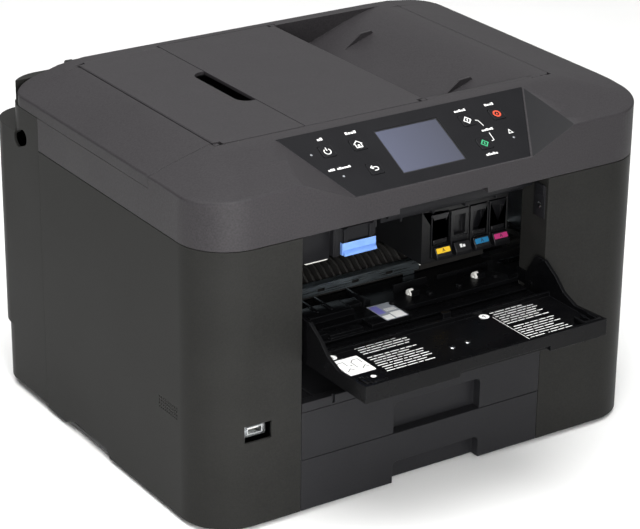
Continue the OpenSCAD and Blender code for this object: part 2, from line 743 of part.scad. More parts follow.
module document_lid() {
    color(shell_top) from_front() difference() {
        union() {
            block([-half_w, lid_front + 7.3, lid_z + 9.4], [strip_x + 0.1, lid_back, 330]);
            block([-half_w + 7.4, lid_front + 7.3, lid_z], [strip_x + 0.1, lid_back, lid_z + 10]);
            block([strip_x, lid_front, lid_z], [lid_r, lid_back, body_h]);
            for (x = hinge_x) {
                rod_x(x - 13.7, x + 13.7, hinge_d, hinge_z, knuckle_r);
                block([x - 13.7, lid_back - 2, hinge_z - 4.5], [x + 13.7, hinge_d, hinge_z + knuckle_r]);
            }
        }
        above_slopes();
        // rounded outer corners
        difference() {
            block([-half_w - 1, lid_back - 24, lid_z - 1], [-half_w + 24, lid_back + 1, 400]);
            translate([-half_w + 24, lid_back - 24, lid_z - 2]) cylinder(r = 24, h = 60, $fn = 96);
        }
        difference() {
            block([lid_r - 9, lid_front - 1, lid_z - 1], [lid_r + 1, lid_front + 9, 400]);
            translate([lid_r - 9, lid_front + 9, lid_z - 2]) cylinder(r = 9, h = 60);
        }
        // pockets for the two top panels
        block([strip_x + 0.1, lid_front - 1, body_h - panel_t - 0.4], [tray_l, cover_back + 0.3, 330]);
        block([tray_l - 1, lid_front - 1, body_h - panel_t - 0.4], [tray_r, flap_back + 0.3, 330]);
        rod_y(cover_axle[0], lid_front - 1, cover_back + 0.3, cover_axle[1], panel_edge + 0.3);
        rod_y(flap_axle[0], lid_front - 1, flap_back + 0.3, flap_axle[1], panel_edge + 0.3);
        // rims bevelled where the open document tray leans on them
        translate([0, flap_back + 0.3, 0]) rotate([90, 0, 0]) linear_extrude(flap_back + 1.3 - lid_front)
            polygon([[tray_r - 0.1, body_h - 2.9], [tray_r + 2.7, body_h + 1], [tray_r - 0.1, body_h + 1]]);
        // feeder chamber
        block([-166, lid_front + 4, lid_z + 3], [38, 327, 320]);
        block([36, lid_front + 6, 291], [tray_r + 1, 334, 320]);
        // output basin and the hollow below it
        translate([0, 334, 0]) rotate([90, 0, 0]) linear_extrude(334 - lid_front - 5)
            polygon(concat(ramp(0), [[tray_r + 128, 330], [tray_r, 330]]));
        translate([0, 333, 0]) rotate([90, 0, 0]) linear_extrude(333 - lid_front - 6)
            polygon(concat([[172, 284], [tray_r + 3, 284]],
                [for (p = ramp(3)) if (p[0] > tray_r + 3 && p[0] < 172) p]));
        // left strip hollow
        translate([0, 338, 0]) rotate([90, 0, 0]) linear_extrude(338 - lid_front - 12)
            polygon([[-221, 284], [-174, 284], [-174, 311], [-221, 298]]);
        // clearance for the hinge ears, and the bores
        for (x = hinge_x) for (side = [-1, 1])
            rod_x(x + side * 17.2 - 3.5, x + side * 17.2 + 3.5, hinge_d, hinge_z, 8);
        for (x = hinge_x) rod_x(x - 15, x + 15, hinge_d, hinge_z, 3 + run);
        finger_slot();
    }
    // lugs for the two top panels, and the roller's bearings inside the chamber
    color(shell_top) from_front() {
        panel_lugs(cover_axle, cover_back);
        panel_lugs(flap_axle, flap_back);
        for (d = [96, 320]) difference() {
            block([-128, d, lid_z + 2.9], [-112, d + 3, 304]);
            rod_y(-120, d - 1, d + 4, 298, 3 + run);
        }
        // two upright fins that keep the sheets square in the basin
        for (d = [132, 291]) translate([0, d, 0]) rotate([90, 0, 0]) linear_extrude(2.4)
            polygon([[84, 291], [112, 311], [124, 312], [131, 305], [131, 301]]);
    }
}

module platen_pad() {
    color(white_pom) from_front() block([-156, 100, 277.2], [158, 328, lid_z]);
}

// Brackets and pins that the lid turns on, standing on the rear housing
module lid_hinges() {
    color(steel) from_front() for (x = hinge_x) {
        for (side = [-1, 1]) intersection() {
            block([x + side * 17 - 3, 348.6, hinge_z - 5.7], [x + side * 17 + 3, 356, 318]);
            rod_x(x - 30, x + 30, hinge_d, hinge_z, knuckle_r + 0.7);
        }
        rod_x(x - 19.8, x + 19.8, hinge_d, hinge_z, 3);
    }
}

// Pins at both ends of a top panel's hinged edge
module panel_pins(axle, back) {
    rod_y(axle[0], lid_front + 2, lid_front + 8, axle[1], pin_r);
    rod_y(axle[0], back - 8, back - 2, axle[1], pin_r);
}
// Corner notches that leave room for the lid's lugs
module lug_notches(x0, x1, back) {
    block([x0, lid_front - 1, 300], [x1, lid_front + 5.5, 330]);
    block([x0, back - 5.5, 300], [x1, back + 1, 330]);
}
// Lugs on the lid, bored for a top panel's pins
module panel_lugs(axle, back) {
    for (d = [lid_front + 0.4, back - 4.4]) difference() {
        block([axle[0] - 2.1, d, 308], [axle[0] + 2.1, d + 4, body_h - 0.3]);
        rod_y(axle[0], d - 1, d + 5, axle[1], pin_r + run);
    }
}
// Scoop for a finger beside the document tray
module finger_slot() {
    for (d = [175, 240]) translate([-86, d, 300]) cylinder(r = 12, h = 30);
    block([-98, 175, 300], [-82, 240, 330]);
}

module feeder_cover() {
    r = 9;
    color(shell_top) from_front() {
        difference() {
            block([strip_x + 0.7, lid_front, body_h - panel_t], [tray_l - 0.5, cover_back, body_h]);
            difference() {
                block([strip_x, lid_front - 1, 300], [strip_x + 0.7 + r, lid_front + r, 330]);
                translate([strip_x + 0.7 + r, lid_front + r, 299]) cylinder(r = r, h = 32);
            }
            difference() {
                block([strip_x, cover_back - r, 300], [strip_x + 0.7 + r, 332, 330]);
                translate([strip_x + 0.7 + r, cover_back - r, 299]) cylinder(r = r, h = 32);
            }
            // edge rounded about the hinge
            difference() {
                block([strip_x, lid_front - 1, 300], [cover_axle[0], 332, 330]);
                rod_y(cover_axle[0], lid_front - 2, 333, cover_axle[1], panel_edge);
            }
            lug_notches(strip_x, cover_axle[0] + 5.2, cover_back);
            finger_slot();
        }
        panel_pins(cover_axle, cover_back);
        for (x = [-150:22:-100]) block([x, 100, 313.4], [x + 1.6, 316, 315.4]);
    }
}

module document_tray() {
    color(shell_top) from_front() {
        difference() {
            block([tray_l + 0.5, lid_front, body_h - panel_t], [tray_r - 0.3, flap_back, body_h]);
            lug_notches(flap_axle[0] - 5.2, tray_r + 1, flap_back);
            // edge rounded about the hinge
            difference() {
                block([flap_axle[0], lid_front - 1, 300], [tray_r + 1, flap_back + 1, 330]);
                rod_y(flap_axle[0], lid_front - 2, flap_back + 2, flap_axle[1], panel_edge);
            }
        }
        panel_pins(flap_axle, flap_back);
        // ribs on the underside
        for (x = [-78, 26]) block([x, 98, 312.6], [x + 1.6, 324, 315.4]);
    }
}

// Fence on the underside of the tray that squares the originals
module document_guide(d) {
    color(panel_black) from_front() {
        block([-62, d, 304], [16, d + 2.4, 313.4]);
        block([-62, d - 2, 313.2], [16, d + 4, 315]);
    }
}

module document_guide_front() { document_guide(100.6); }
module document_guide_rear() { document_guide(319); }

module feeder_roller() {
    color(white_pom) from_front() rod_y(-120, 95, 324, 298, 3);
    color(rubber) from_front() for (d = [170, 222]) rod_y(-120, d, d + 30, 298, 10);
}

// Dark panel with openings for the keys and the screen
module control_panel() {
    color(panel_black) from_front() on_facet() difference() {
        translate([0, 0, -2.1]) linear_extrude(2) facet_outline(1.4);
        for (k = key_spots) translate([k[0], k[1], -4]) linear_extrude(6) key_square(key_w + 0.8);
        block([lcd_box[0], lcd_box[1], -3], [lcd_box[2], lcd_box[3], 1]);
        for (p = [[-99.7, 55], [-84.5, 25.6], [92.5, 25.7]]) translate([p[0], p[1], -3])
            cylinder(r = 1.3, h = 5, $fn = 24);
    }
}

module lcd_screen() {
    color([0.4, 0.42, 0.5]) from_front() on_facet()
        block([lcd_box[0] + 0.3, lcd_box[1] + 0.3, -7], [lcd_box[2] - 0.3, lcd_box[3] - 0.3, -0.9]);
}

// Square key with a collar that stays under the panel
module key(n) {
    color(panel_black) from_front() on_facet() translate([key_spots[n][0], key_spots[n][1], 0]) {
        translate([0, 0, -5.5]) linear_extrude(5.9) key_square(key_w);
        translate([0, 0, -5.5]) linear_extrude(1.6) key_square(key_w + 2);
    }
}

module power_key() { key(0); }
module home_key() { key(1); }
module back_key() { key(2); }
module black_key() { key(3); }
module stop_key() { key(4); }
module color_key() { key(5); }

module feet() {
    color(rubber) from_front() for (x = [-190, 190]) for (d = [40, 345])
        translate([x, d, 0]) cylinder(r = 10, h = floor_z);
}

base_tray();
left_cover();
right_cover();
rear_housing();
transport_cover();
front_cover();
cassette_lower();
cassette_upper();
lower_guide_left();
lower_guide_right();
upper_guide_left();
upper_guide_right();
output_tray();
output_extension();
chassis();
guide_rod();
carriage();
tank_yellow();
tank_black();
tank_cyan();
tank_magenta();
carriage_belt();
drive_pulley();
idler_pulley();
motors();
feed_roller();
exit_roller();
star_wheel_bar();
platen();
exit_guide();
inner_shelf();
lock_lever();
pickup_upper();
pickup_lower();
maintenance_unit();
power_supply();
main_board();
rear_sockets();
usb_port();
scanner_base();
platen_glass();
scan_bar();
scan_rail();
document_lid();
platen_pad();
lid_hinges();
feeder_cover();
document_tray();
document_guide_front();
document_guide_rear();
feeder_roller();
control_panel();
lcd_screen();
power_key();
home_key();
back_key();
black_key();
stop_key();
color_key();
feet();
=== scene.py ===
import json
import math
import random

import bmesh
import bpy
from mathutils import Matrix, Vector

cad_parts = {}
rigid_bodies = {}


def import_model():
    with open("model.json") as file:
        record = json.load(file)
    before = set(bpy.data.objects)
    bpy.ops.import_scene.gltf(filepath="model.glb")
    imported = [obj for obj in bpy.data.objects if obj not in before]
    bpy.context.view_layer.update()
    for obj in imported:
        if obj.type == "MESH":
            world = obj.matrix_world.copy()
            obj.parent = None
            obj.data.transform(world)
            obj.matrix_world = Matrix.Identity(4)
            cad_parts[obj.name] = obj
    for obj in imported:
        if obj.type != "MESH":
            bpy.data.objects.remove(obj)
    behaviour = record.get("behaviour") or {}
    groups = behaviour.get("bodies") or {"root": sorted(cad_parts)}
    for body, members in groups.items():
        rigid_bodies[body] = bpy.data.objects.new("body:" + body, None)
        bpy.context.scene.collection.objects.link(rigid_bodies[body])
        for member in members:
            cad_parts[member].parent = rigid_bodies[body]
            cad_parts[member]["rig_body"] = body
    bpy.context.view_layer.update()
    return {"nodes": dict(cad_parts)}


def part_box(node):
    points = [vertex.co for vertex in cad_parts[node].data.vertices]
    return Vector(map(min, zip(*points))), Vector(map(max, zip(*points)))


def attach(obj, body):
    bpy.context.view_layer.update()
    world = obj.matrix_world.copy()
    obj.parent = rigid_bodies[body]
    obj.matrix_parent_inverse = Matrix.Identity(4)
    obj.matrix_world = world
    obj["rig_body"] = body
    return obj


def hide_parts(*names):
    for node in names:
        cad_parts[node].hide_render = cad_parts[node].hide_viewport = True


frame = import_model()

# Places in this file are millimetres: x across, d back from the front panel, z up from the table.
mm = 0.001
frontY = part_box("left_cover")[0].y
halfWidth = -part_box("left_cover")[0].x / mm
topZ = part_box("feeder_cover")[1].z / mm


def place(x, d, z):
    return Vector((x * mm, frontY + d * mm, z * mm))


# ---- colour and material helpers
def linear(hexColour):
    parts = [int(hexColour[i:i + 2], 16) / 255 for i in (1, 3, 5)]
    return (*[c / 12.92 if c <= 0.04045 else ((c + 0.055) / 1.055) ** 2.4 for c in parts], 1.0)


def addNode(tree, kind, inputs=None, **settings):
    node = tree.nodes.new(kind)
    for name, value in settings.items():
        setattr(node, name, value)
    for name, value in (inputs or {}).items():
        if isinstance(value, bpy.types.NodeSocket):
            tree.links.new(value, node.inputs[name])
        else:
            node.inputs[name].default_value = value
    return node


def newMaterial(name, **sockets):
    material = bpy.data.materials.new(name)
    material.use_nodes = True
    tree = material.node_tree
    shader = tree.nodes["Principled BSDF"]
    for key, value in sockets.items():
        shader.inputs[key.replace("_", " ")].default_value = value
    return material, tree, shader


def objectSpace(tree, stretch=(1, 1, 1)):
    where = addNode(tree, "ShaderNodeTexCoord").outputs["Object"]
    return addNode(tree, "ShaderNodeMapping", {"Vector": where, "Scale": stretch}).outputs["Vector"]


def mouldedPlastic(name, look):
    # Colour and sheen drift over centimetres, the mould's texture is bump, corners are painted lighter as a
    # painted edge highlight.
    material, tree, shader = newMaterial(name, IOR=1.53, Specular_IOR_Level=look.get("specular", 0.4))
    where = objectSpace(tree)
    drift = addNode(tree, "ShaderNodeTexNoise",
                    {"Vector": where, "Scale": 1 / (look["driftMm"] * mm), "Detail": 4.0, "Roughness": 0.55})
    shade = addNode(tree, "ShaderNodeMapRange",
                    {"Value": drift.outputs["Fac"], "From Min": 0.35, "From Max": 0.65})
    base = addNode(tree, "ShaderNodeMix", {0: shade.outputs[0], 6: linear(look["colour"]),
                                           7: linear(look["colourToo"])}, data_type="RGBA")
    grain = addNode(tree, "ShaderNodeTexNoise",
                    {"Vector": where, "Scale": 1 / (look["grainMm"] * mm), "Detail": 2.0})
    speck = addNode(tree, "ShaderNodeMapRange", {"Value": grain.outputs["Fac"], "From Min": 0.3,
                                                 "From Max": 0.7, "To Min": 0.0, "To Max": look["speckle"]})
    tinted = addNode(tree, "ShaderNodeMix", {0: speck.outputs[0], 6: base.outputs[2],
                                             7: linear(look["speckleAndHighlight"])}, data_type="RGBA")
    # Painted highlight: near every edge, where the rounded normal parts from the face's own, the colour is
    # mixed towards the pale one.
    soft = addNode(tree, "ShaderNodeBevel", {"Radius": look["edgeMm"] * mm}, samples=4)
    face = addNode(tree, "ShaderNodeNewGeometry").outputs["Normal"]
    level = addNode(tree, "ShaderNodeVectorMath", {0: soft.outputs[0], 1: face}, operation="DOT_PRODUCT")
    edgeLit = addNode(tree, "ShaderNodeMapRange", {"Value": level.outputs["Value"], "From Min": 0.995,
                                                "From Max": 0.8, "To Max": look["edgeHighlight"]})
    coloured = addNode(tree, "ShaderNodeMix", {0: edgeLit.outputs[0], 6: tinted.outputs[2],
                                               7: linear(look["speckleAndHighlight"])}, data_type="RGBA")
    gloss = addNode(tree, "ShaderNodeMapRange", {"Value": drift.outputs["Fac"], "From Min": 0.3,
                                                 "From Max": 0.7, "To Min": look["roughness"] - 0.04,
                                                 "To Max": look["roughness"] + 0.04})
    bump = addNode(tree, "ShaderNodeBump", {"Height": grain.outputs["Fac"], "Normal": soft.outputs[0],
                                            "Distance": look["grainDepthMm"] * mm,
                                            "Strength": look["grainStrength"]})
    tree.links.new(coloured.outputs[2], shader.inputs["Base Color"])
    tree.links.new(gloss.outputs[0], shader.inputs["Roughness"])
    tree.links.new(bump.outputs[0], shader.inputs["Normal"])
    return material


def drawnMetal(name, look):
    # Fine lines run along the rolling or grinding direction, and dull patches come from handling.
    material, tree, shader = newMaterial(name, Metallic=1.0, Anisotropic=look["anisotropy"])
    lines = addNode(tree, "ShaderNodeTexNoise",
                    {"Vector": objectSpace(tree, look["stretch"]), "Scale": 1 / (look["lineMm"] * mm),
                     "Detail": 3.0})
    patches = addNode(tree, "ShaderNodeTexNoise",
                      {"Vector": objectSpace(tree), "Scale": 1 / (look["patchMm"] * mm), "Detail": 2.0})
    colour = addNode(tree, "ShaderNodeMix", {0: patches.outputs["Fac"], 6: linear(look["colour"]),
                                             7: linear(look["colourToo"])}, data_type="RGBA")
    rough = addNode(tree, "ShaderNodeMapRange", {"Value": lines.outputs["Fac"], "From Min": 0.3,
                                                 "From Max": 0.7, "To Min": look["roughness"] - 0.08,
                                                 "To Max": look["roughness"] + 0.08})
    bump = addNode(tree, "ShaderNodeBump", {"Height": lines.outputs["Fac"], "Strength": 0.25,
                                            "Distance": 0.02 * mm})
    tree.links.new(colour.outputs[2], shader.inputs["Base Color"])
    tree.links.new(rough.outputs[0], shader.inputs["Roughness"])
    tree.links.new(bump.outputs[0], shader.inputs["Normal"])
    return material


# ABS from a spark-eroded tool, satin: the side covers, dark warm grey with soft vertical reflections.
satinAbs = mouldedPlastic("satinMouldedAbs", {
    "colour": "#1f1f1e", "colourToo": "#222221", "speckleAndHighlight": "#4c4b48", "roughness": 0.42, "driftMm": 70,
    "grainMm": 1.3, "grainDepthMm": 0.05, "grainStrength": 0.35, "speckle": 0.08, "edgeMm": 0.7,
    "specular": 0.04, "edgeHighlight": 0.35})  # the true texture is near 0.2 mm, drawn coarser so that it shows
# The same ABS from a coarser tool: the top covers scatter more light, so they look paler and duller.
texturedAbs = mouldedPlastic("texturedMouldedAbs", {
    "colour": "#272527", "colourToo": "#2b292b", "speckleAndHighlight": "#5c5a5c", "roughness": 0.52, "driftMm": 90,
    "grainMm": 1.5, "grainDepthMm": 0.09, "grainStrength": 0.5, "speckle": 0.12, "edgeMm": 0.6,
    "specular": 0.15, "edgeHighlight": 0.35})
# Polycarbonate blend, polished then lightly etched: the control panel and keys, even and satin.
panelPlastic = mouldedPlastic("satinPanelPolycarbonate", {
    "colour": "#161618", "colourToo": "#18181a", "speckleAndHighlight": "#4c4c4e", "roughness": 0.36, "driftMm": 50,
    "grainMm": 1.1, "grainDepthMm": 0.03, "grainStrength": 0.2, "speckle": 0.03, "edgeMm": 0.4,
    "specular": 0.1, "edgeHighlight": 0.3})
# High-impact polystyrene from a polished tool: near-black inner faces with clear glints.
glossStyrene = mouldedPlastic("polishedStyrene", {
    "colour": "#060607", "colourToo": "#09090a", "speckleAndHighlight": "#2c2d2f", "roughness": 0.27, "driftMm": 40,
    "grainMm": 2.0, "grainDepthMm": 0.02, "grainStrength": 0.2, "speckle": 0.02, "edgeMm": 0.6,
    "specular": 0.08, "edgeHighlight": 0.5})
# The same styrene left matt on the hidden structure: black and flat.
mattStyrene = mouldedPlastic("mattStyrene", {
    "colour": "#080809", "colourToo": "#0c0c0d", "speckleAndHighlight": "#252527", "roughness": 0.5, "driftMm": 35,
    "grainMm": 1.2, "grainDepthMm": 0.06, "grainStrength": 0.4, "speckle": 0.1, "edgeMm": 0.5,
    "edgeHighlight": 0.4})
# The fronts of the trays, same ABS, cooler and a shade darker from a finer tool.
frontAbs = mouldedPlastic("fineMouldedAbs", {
    "colour": "#1b1b1d", "colourToo": "#1e1e20", "speckleAndHighlight": "#48484a", "roughness": 0.4, "driftMm": 60,
    "grainMm": 1.2, "grainDepthMm": 0.05, "grainStrength": 0.35, "speckle": 0.06, "edgeMm": 0.6,
    "specular": 0.1, "edgeHighlight": 0.35})
# Glass-filled styrene: the exit ribs, dull dark grey so that they part from the black behind.
ribStyrene = mouldedPlastic("glassFilledStyrene", {
    "colour": "#1d1c1b", "colourToo": "#252423", "speckleAndHighlight": "#4a4846", "roughness": 0.45, "driftMm": 20,
    "grainMm": 1.0, "grainDepthMm": 0.05, "grainStrength": 0.3, "speckle": 0.2, "edgeMm": 0.4,
    "edgeHighlight": 0.4})
# Polyacetal, natural white: waxy gears, spindles and clips.
whiteAcetal = mouldedPlastic("naturalPolyacetal", {
    "colour": "#d9d8d2", "colourToo": "#e4e3de", "speckleAndHighlight": "#f2f1ec", "roughness": 0.38, "driftMm": 12,
    "grainMm": 0.8, "grainDepthMm": 0.02, "grainStrength": 0.2, "speckle": 0.1, "edgeMm": 0.3,
    "edgeHighlight": 0.3})
# Polyurethane foam under a white film: the pad behind an original.
padFoam = mouldedPlastic("whiteFilmOverFoam", {
    "colour": "#e4e4e1", "colourToo": "#ecece9", "speckleAndHighlight": "#f5f5f3", "roughness": 0.6, "driftMm": 60,
    "grainMm": 2.5, "grainDepthMm": 0.15, "grainStrength": 0.3, "speckle": 0.1, "edgeMm": 0.5,
    "edgeHighlight": 0.2})
# Tinted ABS, glossy: the light blue release lever.
blueAbs = mouldedPlastic("blueMouldedAbs", {
    "colour": "#6b94de", "colourToo": "#7aa2e6", "speckleAndHighlight": "#b9d2fb", "roughness": 0.33, "driftMm": 14,
    "grainMm": 0.9, "grainDepthMm": 0.02, "grainStrength": 0.2, "speckle": 0.08, "edgeMm": 0.5,
    "edgeHighlight": 0.6})
# Polypropylene, glossy black: the ink tanks.
tankPropylene = mouldedPlastic("glossPolypropylene", {
    "colour": "#08080a", "colourToo": "#0b0b0d", "speckleAndHighlight": "#3d3d40", "roughness": 0.3, "driftMm": 15,
    "grainMm": 1.0, "grainDepthMm": 0.03, "grainStrength": 0.3, "speckle": 0.05, "edgeMm": 0.5,
    "edgeHighlight": 0.5})
# Vulcanised EPDM, matt: feet, tyres, seals and the belt, with a dusty bloom.
rubberEpdm = mouldedPlastic("vulcanisedEpdm", {
    "colour": "#121212", "colourToo": "#1c1c1b", "speckleAndHighlight": "#3a3a38", "roughness": 0.72, "driftMm": 9,
    "grainMm": 0.7, "grainDepthMm": 0.08, "grainStrength": 0.6, "speckle": 0.2, "edgeMm": 0.3,
    "edgeHighlight": 0.3})
# Galvanised sheet steel, folded: cool grey with rolling lines and faint zinc patches.
zincSheet = drawnMetal("galvanisedSheetSteel", {
    "colour": "#a9b0b6", "colourToo": "#c3c9ce", "roughness": 0.36, "lineMm": 0.9,
    "stretch": (0.04, 1, 1), "patchMm": 9, "anisotropy": 0.3})
# Bright nickel-plated strip: the star wheel holder, which throws one long highlight.
nickelStrip = drawnMetal("nickelPlatedStrip", {
    "colour": "#b6c4cb", "colourToo": "#cbd6dc", "roughness": 0.3, "lineMm": 0.7,
    "stretch": (0.03, 1, 1), "patchMm": 20, "anisotropy": 0.4})
# Centreless-ground steel: rods and shafts, smooth with fine rings.
groundSteel = drawnMetal("groundSteelShaft", {
    "colour": "#b9bcbf", "colourToo": "#cdd0d2", "roughness": 0.2, "lineMm": 0.8,
    "stretch": (1, 0.2, 0.2), "patchMm": 14, "anisotropy": 0.2})
# Stamped nickel-plated steel: the socket shells, plain and fairly bright.
bareSteel = drawnMetal("stampedPlatedSteel", {
    "colour": "#c4c7ca", "colourToo": "#d6d8da", "roughness": 0.28, "lineMm": 0.6,
    "stretch": (1, 0.1, 1), "patchMm": 5, "anisotropy": 0.2})


def printedInk(name, hexColour, rough=0.55):
    # Screen-printed ink: opaque and even, a little broken where the plastic's grain shows through.
    material, tree, shader = newMaterial(name, Roughness=rough)
    mist = addNode(tree, "ShaderNodeTexNoise", {"Vector": objectSpace(tree), "Scale": 1 / (0.8 * mm)})
    fade = addNode(tree, "ShaderNodeMapRange", {"Value": mist.outputs["Fac"], "From Min": 0.3,
                                                "From Max": 0.75, "To Max": 0.22})
    dimmed = tuple(c * 0.6 for c in linear(hexColour)[:3]) + (1.0,)
    mix = addNode(tree, "ShaderNodeMix", {0: fade.outputs[0], 6: linear(hexColour), 7: dimmed},
                  data_type="RGBA")
    tree.links.new(mix.outputs[2], shader.inputs["Base Color"])
    return material


whiteInk = printedInk("whiteScreenPrint", "#e6e6e4")
redInk = printedInk("redScreenPrint", "#d2492c")
greenInk = printedInk("greenScreenPrint", "#2f9c6a")
blackInk = printedInk("blackScreenPrint", "#1b1b1c")
yellowLabel = printedInk("yellowCoatedLabel", "#f3c62b", 0.35)
cyanLabel = printedInk("cyanCoatedLabel", "#1a6f9c", 0.35)
magentaLabel = printedInk("magentaCoatedLabel", "#b2316f", 0.35)
greyLabel = printedInk("greyCoatedLabel", "#8d9198", 0.35)
violetInk = printedInk("violetScreenPrint", "#6f6cb4", 0.35)


def glassPane():
    # Float glass: clear, with the faint green of its edge and a clean reflection.
    material, tree, shader = newMaterial("clearFloatGlass", Roughness=0.03, IOR=1.52,
                                         Transmission_Weight=0.85)
    dust = addNode(tree, "ShaderNodeTexNoise", {"Vector": objectSpace(tree), "Scale": 1 / (22 * mm),
                                                "Detail": 5.0})
    tint = addNode(tree, "ShaderNodeMix", {0: dust.outputs["Fac"], 6: linear("#dfeeea"),
                                           7: linear("#eef6f3")}, data_type="RGBA")
    tree.links.new(tint.outputs[2], shader.inputs["Base Color"])
    return material


def displayGlass():
    # Liquid-crystal screen, off, behind an anti-glare film: bluish grey, painted a little paler to the left
    # as a painted reflection.
    material, tree, shader = newMaterial("antiGlareDisplay", Roughness=0.32, IOR=1.5,
                                         Specular_IOR_Level=0.2)
    where = addNode(tree, "ShaderNodeSeparateXYZ", {0: objectSpace(tree)})
    # Painted reflection: paler colour at the left end of the screen, darker at the right.
    across = addNode(tree, "ShaderNodeMapRange", {"Value": where.outputs["X"], "From Min": -30 * mm,
                                                  "From Max": 35 * mm})
    mix = addNode(tree, "ShaderNodeMix", {0: across.outputs[0], 6: linear("#4c4f5e"),
                                          7: linear("#42444f")}, data_type="RGBA")
    sparkle = addNode(tree, "ShaderNodeTexNoise", {"Vector": objectSpace(tree), "Scale": 1 / (0.7 * mm)})
    bump = addNode(tree, "ShaderNodeBump", {"Height": sparkle.outputs["Fac"], "Strength": 0.08,
                                            "Distance": 0.02 * mm})
    tree.links.new(mix.outputs[2], shader.inputs["Base Color"])
    tree.links.new(bump.outputs[0], shader.inputs["Normal"])
    return material


def circuitBoard():
    # Glass-epoxy board under green solder mask: tracks stand a little paler than the ground.
    material, tree, shader = newMaterial("greenSolderMask", Roughness=0.35)
    tracks = addNode(tree, "ShaderNodeTexBrick",
                     {"Vector": objectSpace(tree), "Scale": 1.0, "Color1": linear("#0c3d22"),
                      "Color2": linear("#0f4a2a"), "Mortar": linear("#2c7a4c"),
                      "Brick Width": 6 * mm, "Row Height": 1.8 * mm, "Mortar Size": 0.25 * mm})
    bump = addNode(tree, "ShaderNodeBump", {"Height": tracks.outputs["Fac"], "Strength": 0.3,
                                            "Distance": 0.05 * mm})
    tree.links.new(tracks.outputs["Color"], shader.inputs["Base Color"])
    tree.links.new(bump.outputs[0], shader.inputs["Normal"])
    return material


def toothedNeoprene():
    # Neoprene timing belt, moulded: teeth 2.03 mm apart across its run, the grooves between them painted
    # darker as painted shade.
    material, tree, shader = newMaterial("toothedNeoprene", Roughness=0.6)
    teeth = addNode(tree, "ShaderNodeTexWave", {"Vector": objectSpace(tree), "Scale": 0.314 / (2.03 * mm)},
                    wave_type="BANDS", bands_direction="X")
    # Painted shade: the colour follows the tooth height, darker down in the grooves.
    mix = addNode(tree, "ShaderNodeMix", {0: teeth.outputs["Fac"], 6: linear("#0d0d0d"),
                                          7: linear("#232323")}, data_type="RGBA")
    bump = addNode(tree, "ShaderNodeBump", {"Height": teeth.outputs["Fac"], "Strength": 0.8,
                                            "Distance": 0.4 * mm})
    tree.links.new(mix.outputs[2], shader.inputs["Base Color"])
    tree.links.new(bump.outputs[0], shader.inputs["Normal"])
    return material


clearGlass = glassPane()
lcdGlass = displayGlass()
solderMask = circuitBoard()
beltNeoprene = toothedNeoprene()
print("materials: %d" % len(bpy.data.materials))


# ---- mesh helpers
def addPiece(name, bm, material, body, sharpAngle=30):
    bmesh.ops.recalc_face_normals(bm, faces=bm.faces)
    mesh = bpy.data.meshes.new(name)
    bm.to_mesh(mesh)
    bm.free()
    piece = bpy.data.objects.new(name, mesh)
    bpy.context.scene.collection.objects.link(piece)
    for m in material if isinstance(material, list) else [material]:
        mesh.materials.append(m)
    mesh.shade_smooth()
    mesh.set_sharp_from_angle(angle=math.radians(sharpAngle))
    if body:
        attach(piece, body)
    return piece


def applyModifiers(piece):
    dg = bpy.context.evaluated_depsgraph_get()
    mesh = bpy.data.meshes.new_from_object(piece.evaluated_get(dg))
    piece.modifiers.clear()
    piece.data = mesh


def cadCopy(node, planar=0.5):
    # The node's surface with its triangles merged back into flat faces.
    bm = bmesh.new()
    bm.from_mesh(frame["nodes"][node].data)
    bmesh.ops.remove_doubles(bm, verts=bm.verts, dist=0.003 * mm)
    bmesh.ops.dissolve_limit(bm, angle_limit=math.radians(planar), verts=bm.verts, edges=bm.edges)
    return bm


def bodyOf(node):
    return frame["nodes"][node]["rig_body"]


edgeRounding = {"segments": 2, "fromAngle": 32}


def softened(node, material, edge):
    # The node with every hard edge rounded, as a moulded or folded piece has.
    piece = addPiece(node + "Shell", cadCopy(node), material, None)
    bevel = piece.modifiers.new("edge", "BEVEL")
    bevel.width = edge * mm
    bevel.segments = edgeRounding["segments"]
    bevel.angle_limit = math.radians(edgeRounding["fromAngle"])
    bevel.use_clamp_overlap = True
    flatten = piece.modifiers.new("flatten", "WEIGHTED_NORMAL")  # keeps the broad faces truly flat
    flatten.weight, flatten.keep_sharp = 100, True
    applyModifiers(piece)
    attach(piece, bodyOf(node))
    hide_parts(node)
    return piece


def addBox(bm, lo, hi, radius=0.0):
    # A box between two corners in millimetres, its edges rounded.
    made = bmesh.ops.create_cube(bm, size=1)
    size = [hi[i] - lo[i] for i in range(3)]
    centre = place(*[(hi[i] + lo[i]) / 2 for i in range(3)])
    for v in made["verts"]:
        v.co = Vector([v.co[i] * size[i] * mm for i in range(3)]) + centre
    if radius:
        edges = {e for v in made["verts"] for e in v.link_edges}
        bmesh.ops.bevel(bm, geom=list(edges), offset=radius * mm, segments=2, affect="EDGES",
                        profile=0.5, material=-1)


def addPrism(bm, outline, low, high, where):
    # A closed outline of (u, v) points carried from one level to another by where(u, v, level).
    rings = [[bm.verts.new(where(u, v, h)) for u, v in outline] for h in (low, high)]
    for ring in rings:
        bm.faces.new(ring)
    for i in range(len(outline)):
        j = (i + 1) % len(outline)
        bm.faces.new((rings[0][i], rings[0][j], rings[1][j], rings[1][i]))


